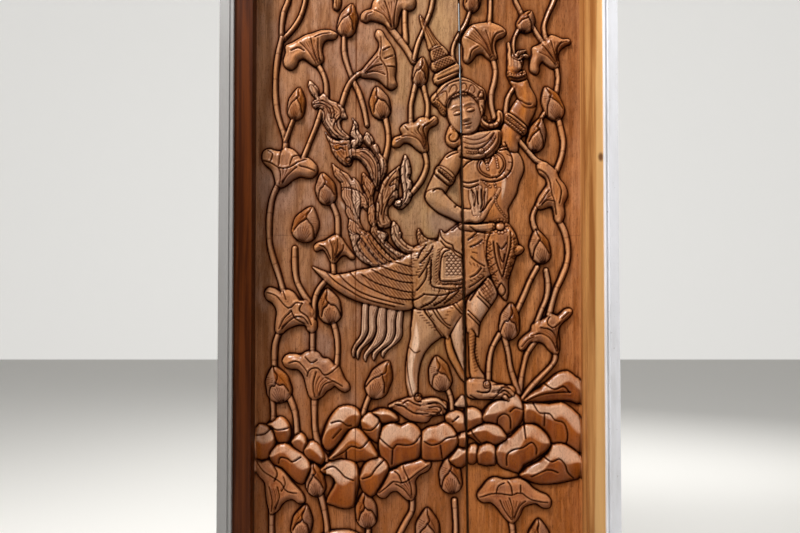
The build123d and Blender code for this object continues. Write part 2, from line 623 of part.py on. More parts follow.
def leaf():
    key_sets = keys()
    nails = nail_places()
    holes = [nail(x, z, nail_fit) for x, z in nails]
    mortises = [key(x, z, key_fit) for places in key_sets.values() for x, z in places]
    recesses = [block(-leaf_width / 2 - 1, -leaf_width / 2 + hinge_recess, back - hinge_depth, back + 1,
                      z - hinge_height / 2, z + hinge_height / 2) for z in hinge_levels()]
    motifs = carving()
    nodes = {}
    for name, corners in plank_corners().items():
        cuts = mortises + holes + (recesses if name == "plank_left" else [])
        nodes[name] = plank(name, corners, motifs).cut(*cuts)
    for name, places in key_sets.items():
        nodes[name] = Compound(children=[key(x, z, 0) for x, z in places])
    for name, z in zip(("lower", "middle", "upper"), ledge_levels()):
        nodes[f"ledge_{name}"] = ledge(z).cut(*holes)
    nodes["ledge_nails"] = Compound(children=[nail(x, z, 0) for x, z in nails])
    for i, z in enumerate(hinge_levels(), 1):
        nodes[f"hinge_{i}_door_plate"] = door_plate(z)
    return nodes


# Frame
def tenons(play):
    # one at each end of the head and of the sill
    half = tenon_height / 2 + play
    depth = (front + tenon_setback - play, front + tenon_setback + tenon_thickness + play)
    levels = (sill_height / 2, (opening_top + jamb_height) / 2)
    reach = tenon_length + play
    return {(side, z): block(min(side * (sight - 1), side * (sight + reach)),
                             max(side * (sight - 1), side * (sight + reach)), *depth, z - half, z + half)
            for side in (-1, 1) for z in levels}


def pegs():
    # square, and flush with the front of the frame
    half = peg_side / 2
    places = [(side * (sight + tenon_length / 2), z) for side, z in tenons(0)]
    return [block(x - half, x + half, front, front + peg_length, z - half, z + half) for x, z in places]


def fixing_holes():
    y = back - fixing_setback
    levels = [fixing_foot, jamb_height - fixing_head]
    return [rod(-outer - 1, y, z, fixing_radius, 2 * outer + 2, (0, 90, 0)) for z in levels]


def jamb(side):
    stop = block(min(side * sight, side * outer), max(side * sight, side * outer),
                 front, stop_back, 0, jamb_height)
    rebate = side * leaf_width / 2 + side * edge_gap
    rear = block(min(rebate, side * outer), max(rebate, side * outer), stop_back, back, 0, jamb_height)
    cuts = list(tenons(tenon_fit).values()) + pegs() + fixing_holes()
    if side < 0:
        cuts += [block(opening_left - hinge_recess, opening_left + 1, back - hinge_depth, back + 1,
                       z - hinge_height / 2, z + hinge_height / 2) for z in hinge_levels()]
    return (stop + rear).cut(*cuts)


def rail(stop_low, stop_high, rear_low, rear_high, level):
    # the head or the sill: the stop in front, the rebate behind it
    stop = block(-sight, sight, front, stop_back, stop_low, stop_high)
    rear = block(opening_left, opening_right, stop_back, back, rear_low, rear_high)
    ends = [shape for (side, z), shape in tenons(0).items() if z == level]
    return join([stop, rear] + ends).cut(*pegs())


def casing_profile():
    # u runs outwards from the bead, v forwards from the front of the frame
    width, thick = casing_width, casing_thickness
    bead = 2 * bead_radius
    corners = [(0, 0), (0, thick - bead_radius), (bead, thick - bead_radius), (bead, thick - quirk_depth),
               (bead + quirk_width, thick - quirk_depth), (bead + quirk_width, thick), (width, thick),
               (width, 0), (casing_lap + thick, 0), (casing_lap + thick, -casing_return),
               (casing_lap, -casing_return), (casing_lap, 0)]
    flat = make_face(Polyline(*corners, close=True))
    return flat + Pos(bead_radius, thick - bead_radius) * Circle(bead_radius)


def casing_side(side):
    inner, top = outer - casing_lap, jamb_height - casing_lap
    plane = Plane(origin=(side * inner, front, 0), x_dir=(side, 0, 0), z_dir=(0, 0, -side))
    length = top + casing_width
    strip = extrude(plane * casing_profile(), amount=length, dir=(0, 0, 1))
    mitre = [(side * inner, 0), (side * inner, top), (side * (inner + casing_width), length),
             (side * (inner + casing_width), 0)]
    return strip & board(mitre, front - casing_thickness, back)


def casing_head():
    inner, top = outer - casing_lap, jamb_height - casing_lap
    reach = inner + casing_width
    plane = Plane(origin=(-reach, front, top), x_dir=(0, 0, 1), z_dir=(1, 0, 0))
    strip = extrude(plane * casing_profile(), amount=2 * reach, dir=(1, 0, 0))
    mitre = [(-inner, top), (inner, top), (reach, top + casing_width), (-reach, top + casing_width)]
    return strip & board(mitre, front - casing_thickness, back)


def frame():
    head_level, sill_level = (opening_top + jamb_height) / 2, sill_height / 2
    stop_bottom = opening_top - stop_width
    nodes = {
        "jamb_left": jamb(-1),
        "jamb_right": jamb(1),
        "head": rail(stop_bottom, jamb_height, opening_top, jamb_height, head_level),
        "sill": rail(0, sill_front_height, 0, sill_height, sill_level),
        "frame_pegs": Compound(children=pegs()),
        "casing_left": casing_side(-1),
        "casing_right": casing_side(1),
        "casing_head": casing_head(),
    }
    for i, z in enumerate(hinge_levels(), 1):
        nodes[f"hinge_{i}_frame_plate"] = frame_plate(z)
        nodes[f"hinge_{i}_pin"] = hinge_pin(z)
    return nodes


os.makedirs("parts", exist_ok=True)
for node, shape in {**frame(), **leaf()}.items():
    export_step(shape, f"parts/{node}.step")
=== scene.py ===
# %% [markdown]
# # A carved temple door
# The real door is a teak leaf of three planks, carved in low relief with a kinnari, the bird-bodied
# dancer of Thai temples, among lotus plants that rise from rocks. It hangs in a timber frame with a
# white casing. The measured model already holds the frame, the hinges and the planks at their true
# size, so this lesson adds what a carver and a finisher do: the fine carving and the surfaces.

# %% Load the measured model
import math

import bpy
import numpy as np
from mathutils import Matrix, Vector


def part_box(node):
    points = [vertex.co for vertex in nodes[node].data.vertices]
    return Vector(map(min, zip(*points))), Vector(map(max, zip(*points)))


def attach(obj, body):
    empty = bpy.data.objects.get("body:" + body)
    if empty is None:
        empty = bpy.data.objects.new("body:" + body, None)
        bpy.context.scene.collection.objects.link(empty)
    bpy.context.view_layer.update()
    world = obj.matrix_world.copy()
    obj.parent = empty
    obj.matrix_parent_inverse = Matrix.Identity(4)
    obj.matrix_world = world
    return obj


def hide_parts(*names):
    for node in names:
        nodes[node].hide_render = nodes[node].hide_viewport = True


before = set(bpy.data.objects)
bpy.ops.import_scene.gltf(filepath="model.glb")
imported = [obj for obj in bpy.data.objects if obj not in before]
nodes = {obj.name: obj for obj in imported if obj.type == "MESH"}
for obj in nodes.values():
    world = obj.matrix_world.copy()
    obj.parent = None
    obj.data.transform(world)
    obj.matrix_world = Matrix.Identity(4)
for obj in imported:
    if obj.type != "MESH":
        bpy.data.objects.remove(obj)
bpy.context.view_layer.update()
print("nodes:", len(nodes))

# %% [markdown]
# ## Sizes
# The carver works from a squared drawing. One square is 2.739 mm on the wood, and a place on the
# drawing is a column to the right and a row down. Two functions turn metres on the leaf into those.

# %% Squares of the drawing, and the leaf they lie on
MM = 0.001
square = 2.739 * MM
middle_column = 418.0
middle_row = 266.0
leaf_thickness = 50 * MM
ground_thickness = 30 * MM
leaf_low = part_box("plank_left")[0]
leaf_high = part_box("plank_right")[1]
leaf_middle = (leaf_low.z + leaf_high.z) / 2
back_y = leaf_low.y + leaf_thickness
ground_y = back_y - ground_thickness


def column_at(x):
    return middle_column + x / square


def row_at(z):
    return middle_row - (z - leaf_middle) / square


print("leaf", [round(v, 3) for v in (*leaf_low, *leaf_high)])

# %% [markdown]
# ## Camera
# The photograph was taken from about two metres, almost square on and a little from below, with the lens a
# touch left of the door's middle.

# %% The photograph's camera
photo_width = 800
film_width = 36
camera_distance = 2.1
camera_column = 400.0
camera_pitch = math.radians(1.5)
camera_data = bpy.data.cameras.new("camera")
camera = bpy.data.objects.new("camera", camera_data)
bpy.context.scene.collection.objects.link(camera)
bpy.context.scene.camera = camera
camera_data.sensor_width = film_width
camera_data.lens = film_width * camera_distance / (photo_width * square)
camera.location = ((camera_column - middle_column) * square, ground_y - camera_distance,
                   leaf_middle - camera_distance * math.tan(camera_pitch))
camera.rotation_euler = (math.pi / 2 + camera_pitch, 0, 0)
print("lens", round(camera_data.lens, 1), "mm")

# %% [markdown]
# ## Light and floor
# Low relief lives by raking light. A small key lamp stands high on the left and a broader one beside
# it stands for the sky, a weak lamp low on the right fills the shadows, and one behind the door
# lights its back. The world is a dim, pale room that polished wood can reflect.

# %% Lamps
door_middle = (0, ground_y, leaf_middle)


def lamp(name, place, size, power):
    """A square lamp that points at the middle of the door."""
    data = bpy.data.lights.new(name, "AREA")
    data.size = size
    data.energy = power
    made = bpy.data.objects.new(name, data)
    bpy.context.scene.collection.objects.link(made)
    made.location = place
    toward = Vector(door_middle) - Vector(place)
    made.rotation_euler = toward.to_track_quat("-Z", "Y").to_euler()
    print("lamp", name, power, "W")


lamp("key", (-1.3, -1.4, 3.9), size=0.6, power=150)
lamp("fill", (2.4, -2.8, 1.2), size=2.0, power=4)
lamp("sky", (-0.3, -2.3, 3.9), size=1.2, power=45)
lamp("back", (1.5, 3.0, 3.0), size=1.5, power=90)

# %% [markdown]
# ## Writing materials as sums
# A material here is a sum of noises, masks and colours. The small class below lets a shader socket
# be added and multiplied like a number, so that a finish reads as one line of arithmetic instead of
# a page of nodes.

# %% Shader sockets that do arithmetic


class Wire:
    """A shader socket that can be used in sums."""

    def __init__(self, tree, socket):
        self.tree = tree
        self.socket = socket

    def math(self, operation, other=0.0, clamp=False):
        return self.tree.node("ShaderNodeMath", {"operation": operation, "use_clamp": clamp},
                              {0: self, 1: other})

    def __add__(self, other):
        return self.math("ADD", other)

    def __radd__(self, other):
        return self.math("ADD", other)

    def __sub__(self, other):
        return self.math("SUBTRACT", other)

    def __rsub__(self, other):
        return (self * -1) + other

    def __mul__(self, other):
        return self.math("MULTIPLY", other)

    def __pow__(self, other):
        return self.math("POWER", other)

    def clip(self):
        return self.math("ADD", 0.0, clamp=True)

    def band(self, low, high):
        """0 below low, 1 above high, and smooth between them."""
        return self.tree.node("ShaderNodeMapRange", {"interpolation_type": "SMOOTHSTEP"},
                              {0: self, 1: low, 2: high, 3: 0.0, 4: 1.0})


# %% A node material


class Finish:
    """A node material with one glossy surface shader."""

    def __init__(self, name):
        self.material = bpy.data.materials.new(name)
        self.material.use_nodes = True
        self.nodes = self.material.node_tree.nodes
        self.links = self.material.node_tree.links
        self.surface = self.nodes["Principled BSDF"]
        self.spot = self.node("ShaderNodeTexCoord", {}, {}, "Object")

    def node(self, kind, settings, values, output=0):
        made = self.nodes.new(kind)
        for name, value in settings.items():
            setattr(made, name, value)
        for name, value in values.items():
            self.fill(made.inputs[name], value)
        return Wire(self, made.outputs[output])

    def fill(self, socket, value):
        if isinstance(value, Wire):
            self.links.new(value.socket, socket)
        else:
            socket.default_value = value

    def set(self, name, value):
        self.fill(self.surface.inputs[name], value)

    def axis(self, name):
        return self.node("ShaderNodeSeparateXYZ", {}, {0: self.spot}, name)

    def noise(self, scale, stretch=(1, 1, 1), detail=3.0, rough=0.5, shift=(0, 0, 0), twist=0.0):
        """Cloudy noise, from about 0.2 to 0.8, whose spots are one over the scale in metres."""
        place = self.node("ShaderNodeMapping", {}, {0: self.spot, "Location": shift, "Scale": stretch})
        return self.node("ShaderNodeTexNoise", {"noise_dimensions": "3D"},
                         {"Vector": place, "Scale": scale, "Detail": detail, "Roughness": rough,
                          "Distortion": twist})

    def carved(self, name):
        """One of the numbers that the carving left on each point of the wood."""
        return self.node("ShaderNodeAttribute", {"attribute_name": name}, {}, "Fac")

    def mix(self, share, first, second):
        return self.node("ShaderNodeMix", {"data_type": "RGBA"}, {0: share, 6: first, 7: second}, 2)

    def bump(self, height, strength, depth):
        made = self.node("ShaderNodeBump", {}, {"Height": height, "Strength": strength, "Distance": depth})
        self.set("Normal", made)


def paint(red, green, blue):
    """A colour as a screen shows it, from 0 to 255, turned into light."""
    def light(value):
        value /= 255
        return value / 12.92 if value <= 0.04045 else ((value + 0.055) / 1.055) ** 2.4
    return (light(red), light(green), light(blue), 1.0)


# %% [markdown]
# ## Floor and backdrop
# The door stands on a pale, matt floor before a pale wall. Both glow a little for the camera and for
# reflections only, so they look white without throwing more light on the wood.

# %% A pale floor and backdrop
room = bpy.data.worlds.new("room")
bpy.context.scene.world = room
room.use_nodes = True
room.node_tree.nodes["Background"].inputs["Color"].default_value = (1.0, 0.97, 0.93, 1.0)
room.node_tree.nodes["Background"].inputs["Strength"].default_value = 0.07
bpy.context.scene.view_settings.view_transform = "Standard"


def pale_surface(name, colour, glow):
    """A matt surface that the camera and reflections see a little brighter than the lamps make it."""
    made = Finish(name)
    made.set("Base Color", colour)
    made.set("Roughness", 0.9)
    rays = made.node("ShaderNodeLightPath", {}, {}, "Is Camera Ray")
    for kind in ("Is Glossy Ray", "Is Transmission Ray"):
        rays = rays.math("MAXIMUM", made.node("ShaderNodeLightPath", {}, {}, kind))
    made.set("Emission Color", made.mix(rays, (0, 0, 0, 1), colour))
    made.set("Emission Strength", glow)
    return made.material


def stage_sheet(name, place, turn, material):
    bpy.ops.object.select_all(action="DESELECT")
    bpy.ops.mesh.primitive_plane_add(size=24, location=place, rotation=turn)
    sheet = bpy.context.object
    sheet.name = name
    sheet.data.materials.append(material)
    print("staged", name)


stage_sheet("floor", (0, 0, 0), (0, 0, 0), pale_surface("pale floor", paint(224, 222, 217), glow=0.34))
stage_sheet("backdrop", (0, 9, 6), (math.pi / 2, 0, 0),
            pale_surface("pale wall", paint(226, 225, 222), glow=0.8))

# %% [markdown]
# ## The drawing
# These are the carver's lines, read off the real door: for each motif the points of its outline, as
# column,row pairs. Behind the outlines come the cuts on them, such as veins and folds. A stem starts
# with half its width in squares, and a bud is its tip, its foot and its width. Nobody sees the top
# and the foot of the door, so there the stems simply go on, to a bud or to the margin.

# %% Stems, buds, lotus leaves and rocks of the drawing
STEMS = [
    (2.6, "291,-30 288,-4 283,10 281,25 281,38"),
    (2.4, "308,-30 305,-4 300,14 292,27 282,38"),
    (2.8, "281,36 277,55 275,75 275,95 277,112 281,126 285,138 285,152"),
    (2.3, "293,118 289,129 285,140"),
    (2.6, "317,62 323,73 326,84 326,98"),
    (2.6, "344,32 344,50 348,66 353,79 359,92 364,108 367,124"),
    (2.6, "367,69 358,73 350,81 345,92 341,105"),
    (2.8, "405,4 405,22 406,40"),
    (3.2, "389,24 399,37 407,48 414,60"),
    (2.3, "437,-26 433,-2 431,8 427,19 423,30 418,42 414,58"),
    (2.5, "416,82 413,95 411,105 411,122"),
    (2.5, "423,82 426,95 428,105 427,119"),
    (2.0, "471,8 466,22 459,33 454,44 453,54 456,62"),
    (2.2, "490,-40 491,-12 491,8 490,22"),
    (2.6, "493,56 496,68 495,80 492,92 492,104 495,117"),
    (2.2, "511,-30 516,-4 520,6 524,14"),
    (2.0, "519,28 514,40 513,56"),
    (2.2, "533,23 538,32 544,41"),
    (2.3, "563,-30 556,-4 549,12 545,25 547,37"),
    (2.4, "557,64 559,77 557,92"),
    (2.2, "549,108 543,115 539,124"),
    (2.8, "559,117 562,130 564,142 562,156 557,170"),
    (2.5, "518,138 528,150 537,160 546,164"),
    (2.3, "514,87 508,98 506,114"),
    (2.5, "538,204 533,215 534,225 538,234"),
    (2.6, "537,267 530,280 525,292 516,312"),
    (2.6, "546,270 548,285 546,298 541,310 536,324"),
    (2.9, "559,220 565,232 568,248 567,262 562,276 556,289 552,302 549,314"),
    (2.6, "555,350 554,360 547,369 537,379 528,389 520,400"),
    (2.6, "535,340 527,352 524,362 521,376 519,392"),
    (2.6, "499,334 492,347 489,361 488,382"),
    (2.6, "504,336 508,352 510,366 514,380 518,392"),
    (2.9, "279,182 273,195 270,210 269,228 270,245 274,260 279,275 284,292"),
    (2.4, "321,110 316,125 310,140 303,158"),
    (2.7, "331,201 337,215 338,226 338,238"),
    (2.9, "295,248 295,265 297,280 302,291 309,302"),
    (2.5, "333,260 334,272"),
    (2.9, "281,328 276,342 275,355 275,370"),
    (2.7, "326,280 319,289 315,300 314,316 313,334 313,354"),
    (2.7, "333,320 337,335 338,350 337,364"),
    (3.0, "315,394 315,414 316,430 320,446 327,458"),
    (2.8, "273,396 274,408 274,420"),
    (3.0, "290,396 296,412 298,432"),
    (2.7, "385,116 388,130 388,145 384,162"),
    (2.7, "424,149 427,162 425,172 420,182 412,192"),
    (2.5, "371,392 366,404 362,418"),
    (2.4, "447,387 451,398 452,412"),
    (3.0, "273,508 273,530 274,560 272,600 273,640"),
    (2.9, "322,494 326,512 328,532 326,580 330,640"),
    (2.6, "300,532 299,556 303,600 300,640"),
    (2.8, "369,522 369,545 373,590 368,640"),
    (2.8, "412,494 412,507 407,517 400,530 393,548 392,600 396,640"),
    (2.7, "454,498 455,515 455,535 450,580 452,640"),
    (2.8, "428,542 430,570 424,640"),
    (2.8, "510,516 512,535 510,570 514,640"),
    (2.6, "538,546 541,580 538,640"),
    (2.4, "345,-46 343,-30 337,-12 336,0"),
    (2.4, "478,-24 481,-50"),
]
BUDS = [
    ("352,1", "344,35", 20), ("299,86", "294,119", 18), ("423,55", "419,85", 16),
    ("477,-24", "471,10", 17), ("532,8", "523,30", 18), ("546,85", "559,119", 21),
    ("541,117", "534,151", 19), ("536,229", "543,263", 21), ("511,302", "508,339", 21),
    ("322,172", "329,204", 21), ("312,206", "301,241", 27), ("327,288", "332,323", 24),
    ("274,365", "283,401", 26), ("376,85", "383,118", 21), ("389,360", "372,397", 24),
    ("436,355", "443,390", 23), ("314,461", "318,494", 20), ("307,502", "300,536", 21),
    ("365,489", "368,525", 22), ("448,454", "452,491", 23), ("427,505", "428,546", 25),
    ("537,516", "538,550", 22), ("293,-62", "292,-28", 20), ("312,-60", "308,-28", 18),
    ("439,-60", "437,-24", 20), ("508,-64", "511,-28", 20), ("567,-62", "563,-28", 18),
]
LEAVES = [
    ("330,28 337,32 334,37 326,38 322,44 322,52 323,59 316,65 309,61 303,57 298,59 296,64 291,68 "
     "285,66 283,59 285,51 285,44 291,41 298,37 305,33 312,31 321,28",
     ["316,63 308,50 300,42", "318,62 313,48 311,38", "320,60 318,48 318,38", "291,50 298,47 304,50",
      "315,36 322,33 330,32"]),
    ("361,12 365,8 371,6 373,-1 379,-7 391,-11 403,-9 412,-7 416,-1 414,6 408,8 402,8 399,15 397,24 "
     "391,28 384,22 376,19 370,18 366,20 361,18",
     ["391,26 384,14 374,9", "392,26 389,12 385,0", "394,25 395,10 398,-4", "366,18 367,13 372,11"]),
    ("361,70 366,63 372,56 378,48 379,41 375,34 377,28 382,29 386,36 391,43 395,52 396,66 395,76 "
     "397,84 392,88 386,86 380,80 372,77 362,76",
     ["381,36 381,48 380,57 386,66 388,76 388,86", "364,71 372,62 378,56", "365,72 374,66 382,64",
      "366,73 376,71 385,74", "383,50 390,46", "385,58 393,55", "388,66 395,66"]),
    ("466,29 472,23 480,21 490,20 497,22 503,25 507,30 504,35 499,37 496,41 496,48 498,56 493,59 "
     "488,57 483,52 477,53 473,58 468,62 464,58 464,48 462,38",
     ["491,57 483,46 474,40 466,36", "492,57 487,44 480,33 474,26", "493,56 490,42 486,30",
      "495,56 493,44 496,34 504,30", "470,58 472,50 478,46"]),
    ("392,141 395,136 402,134 400,128 404,123 410,122 415,121 419,117 425,116 429,118 434,115 438,118 "
     "437,123 431,126 428,130 427,137 428,144 428,150 422,152 416,148 410,143 404,142 399,146 393,146",
     ["424,149 419,140 411,136 402,136", "425,149 423,138 418,130 420,126",
      "426,148 426,138 423,128 428,124 434,119", "405,126 408,130", "396,140 400,138"]),
    ("546,38 552,33 559,35 564,37 570,37 572,41 566,44 561,48 559,54 560,62 559,66 553,67 547,63 "
     "543,60 540,64 540,70 536,73 531,69 531,60 533,53 533,46 539,43",
     ["556,65 548,56 540,52", "557,64 550,52 543,44", "558,63 554,50 551,40",
      "559,60 558,48 562,42 568,40"]),
    ("263,151 269,148 276,150 281,150 286,147 293,149 298,154 301,158 307,157 312,160 317,166 317,172 "
     "312,177 306,177 300,176 293,179 287,184 281,187 276,184 274,176 271,169 266,165 262,159",
     ["263,160 272,163 280,168 290,167 300,161 307,159", "280,184 281,174 279,168",
      "283,183 288,175 297,167", "279,166 280,157 281,151", "290,165 293,157 298,155",
      "300,166 308,168 315,171", "271,161 273,154 268,150"]),
    ("537,164 544,161 551,165 557,171 560,178 566,186 568,195 564,204 565,213 563,220 558,223 555,219 "
     "554,211 551,206 541,209 536,206 538,198 543,190 547,184 546,178 540,173",
     ["539,169 546,174 550,182 551,192 554,201 556,214", "539,204 544,197 549,190",
      "541,205 547,200 553,201", "556,180 561,190 559,203"]),
    ("557,315 564,309 570,308 572,312 567,318 561,323 558,330 559,341 558,352 553,353 548,349 543,343 "
     "536,341 530,342 526,347 521,350 518,346 519,340 525,334 530,330 532,324 538,320 545,317 551,313",
     ["555,350 550,339 541,333 530,335", "556,350 555,337 549,329 540,327",
      "557,349 557,334 559,325", "521,346 527,339 533,336", "549,316 546,322 552,327 559,322",
      "561,318 568,312"]),
    ("314,246 318,242 325,240 331,236 337,234 342,238 346,244 351,251 355,257 351,259 346,255 341,256 "
     "336,262 331,262 328,256 323,249 316,251",
     ["333,260 333,248 330,240", "335,260 338,248 338,239", "337,258 343,250 344,245",
      "331,258 326,248 320,245"]),
    ("265,292 269,287 275,288 281,291 288,289 295,293 300,300 306,299 311,304 314,311 313,316 317,321 "
     "317,328 313,332 308,330 306,325 300,324 293,326 287,329 282,333 276,331 276,321 277,311 273,303 "
     "267,299",
     ["268,292 277,295 283,302 290,308 297,302 303,303", "280,328 285,318 292,311",
      "283,328 293,318 303,316 309,323", "292,310 296,318 305,323", "284,291 287,299",
      "303,303 300,310 308,316 312,324"]),
    ("283,360 287,354 295,353 301,354 306,351 313,350 319,352 323,357 329,358 334,363 339,365 342,371 "
     "345,378 349,383 350,388 345,391 339,388 335,385 331,388 327,390 323,395 317,398 311,397 308,390 "
     "306,382 304,375 299,369 292,368 286,366",
     ["308,375 311,368 319,367 325,374 332,371 338,366", "316,396 314,384 317,371",
      "320,394 325,383 334,380", "326,376 334,380 343,385", "290,362 298,360 305,366 309,372",
      "306,356 312,362 318,359"]),
    ("255,459 259,454 266,455 272,460 280,465 287,472 293,480 299,486 304,492 306,499 300,501 294,497 "
     "288,498 283,502 279,508 272,511 269,503 267,492 266,481 261,475 256,467",
     ["258,458 265,468 274,474 283,480 288,488 298,490", "273,508 274,497 271,484",
      "277,506 281,494 279,484", "275,464 279,471 276,478", "285,474 287,481 283,488"]),
    ("376,489 381,483 385,475 389,469 395,467 401,463 408,460 415,459 422,457 428,458 431,463 427,469 "
     "419,473 415,479 416,487 415,494 409,498 403,494 397,489 391,490 386,495 380,495",
     ["379,490 388,483 394,478 402,480 411,475 420,468 428,463", "411,495 404,486 396,481",
      "412,494 411,484 408,476", "402,480 399,472 395,469", "409,477 405,469 403,464"]),
    ("477,491 482,484 487,478 494,475 502,477 509,477 517,476 525,479 532,486 539,490 546,493 550,499 "
     "548,505 541,505 535,501 528,502 522,505 519,512 514,519 508,519 502,513 496,505 490,500 483,500 "
     "478,497",
     ["479,494 488,491 495,490 503,491 511,492 519,489 527,495 536,498 546,499",
      "510,516 503,506 499,497", "511,516 511,505 508,495", "513,515 518,503 524,498",
      "495,490 497,483 503,480", "511,491 510,484 507,479", "519,489 519,482"]),
    ("320,534 328,529 338,527 349,527 358,530 366,536 364,545 354,549 347,556 340,560 334,556 330,548 "
     "322,544",
     ["340,558 338,547 332,538", "342,558 346,546 356,540", "322,541 334,543 346,540 360,539"]),
    ("329,-24 337,-26 343,-20 340,-12 341,0 339,6 336,8 333,5 333,-4 328,-12",
     ["336,5 336,-8 335,-20"]),
]
BOULDERS = [
    ("257,426 264,423 271,426 276,432 277,440 275,449 270,457 257,457",
     ["258,433 266,432 272,427"]),
    ("268,423 275,418 281,415 287,418 291,425 292,434 288,442 280,442 276,436 274,428",
     ["271,424 279,428 290,426"]),
    ("323,442 324,431 328,420 333,412 339,406 348,404 356,406 361,412 361,420 356,427 349,429 343,437 "
     "336,446 328,449",
     ["332,421 341,419 348,424 352,424", "334,436 342,427"]),
    ("292,441 296,433 302,431 307,436 308,444 305,453 298,449",
     []),
    ("305,446 311,439 318,440 323,447 326,456 322,463 313,459 306,456",
     []),
    ("361,417 368,411 376,412 381,418 381,429 379,441 372,438 363,429",
     ["364,428 372,428 380,420"]),
    ("372,411 380,407 388,408 395,412 399,419 390,421 382,422 378,416",
     []),
    ("329,456 336,446 344,436 350,428 356,426 363,430 369,438 375,447 379,456 372,460 362,459 352,461 "
     "342,457 333,459",
     ["334,455 344,450 352,444 361,446 369,439", "347,449 347,458"]),
    ("445,413 452,409 460,410 466,416 466,430 457,433 451,425 446,421",
     ["452,420 458,415"]),
    ("448,458 452,450 458,445 466,444 466,462 456,466",
     []),
    ("456,434 466,429 466,446 458,445",
     []),
    ("464,410 472,406 479,409 483,415 482,422 476,426 466,430",
     []),
    ("379,446 380,430 386,423 394,421 401,424 408,421 415,423 421,430 422,441 421,451 416,458 405,461 "
     "396,464 388,467 382,458",
     ["380,436 386,441 393,446 397,442 406,443 414,441 420,434", "393,447 392,462"]),
    ("421,434 424,428 430,425 437,424 444,421 451,424 456,431 458,440 455,448 450,453 443,458 430,459 "
     "422,457",
     ["424,439 431,443 439,441 446,436 456,434", "440,443 442,456"]),
    ("482,412 488,404 496,399 504,396 512,390 518,394 522,402 523,413 520,421 514,427 506,433 499,425 "
     "490,422 482,420",
     ["497,424 497,416 503,412 509,416 510,427", "509,410 514,406 521,408"]),
    ("467,430 477,423 488,421 498,424 504,431 506,437 500,442 492,444 486,441 480,443 474,438 467,434",
     ["470,428 475,436 480,441"]),
    ("467,446 474,442 478,446 478,456 473,462 467,460",
     []),
    ("476,448 482,442 490,441 496,447 495,456 494,463 478,462",
     []),
    ("522,400 528,392 539,386 549,378 557,372 567,370 575,376 580,381 580,402 570,400 556,399 540,401 "
     "530,401",
     ["544,383 553,388 562,385 568,391", "526,399 540,393 558,391 569,391"]),
    ("523,402 535,401 548,403 560,401 568,405 575,411 580,419 580,450 572,447 564,442 552,442 549,436 "
     "543,428 534,422 524,422",
     ["532,402 538,411 548,412 553,418 562,421 566,432 565,442", "543,412 543,424"]),
    ("495,446 502,439 510,435 518,427 526,422 535,424 543,430 549,438 548,447 540,453 531,459 523,463 "
     "518,471 508,468 500,465 495,456",
     ["506,463 506,452 513,447 522,445 530,440 535,446 535,452", "523,424 524,436"]),
    ("518,473 526,465 538,459 546,451 551,443 560,441 570,446 580,455 580,474 570,478 556,481 540,482 "
     "528,479",
     ["543,455 550,459 557,456 563,462 566,470 572,476", "530,474 545,467 556,470"]),
    ("271,450 277,443 286,441 294,446 303,451 309,457 312,465 310,473 305,481 299,481 292,475 283,466 "
     "275,463 271,457",
     ["280,461 282,455 289,456 294,459 302,455"]),
    ("321,467 328,460 337,457 347,457 355,460 359,468 360,480 357,492 354,504 344,506 334,503 327,500 "
     "331,490 336,480 331,473 324,472",
     ["325,467 334,464 341,469 346,474 354,477"]),
    ("360,472 364,463 370,457 377,455 384,456 389,463 388,471 383,481 378,489 371,495 364,490 360,481",
     ["363,476 371,473 376,466 384,458"]),
]

# %% [markdown]
# The figure is drawn from back to front, each shape with the height of its crown in millimetres and
# how far in from its outline it is rounded, in squares. Then come how golden it is, except on the
# tail flames, and how far it has worn pale. A limb is rounded over half its width, and a cloth or
# an ornament only along its edge.

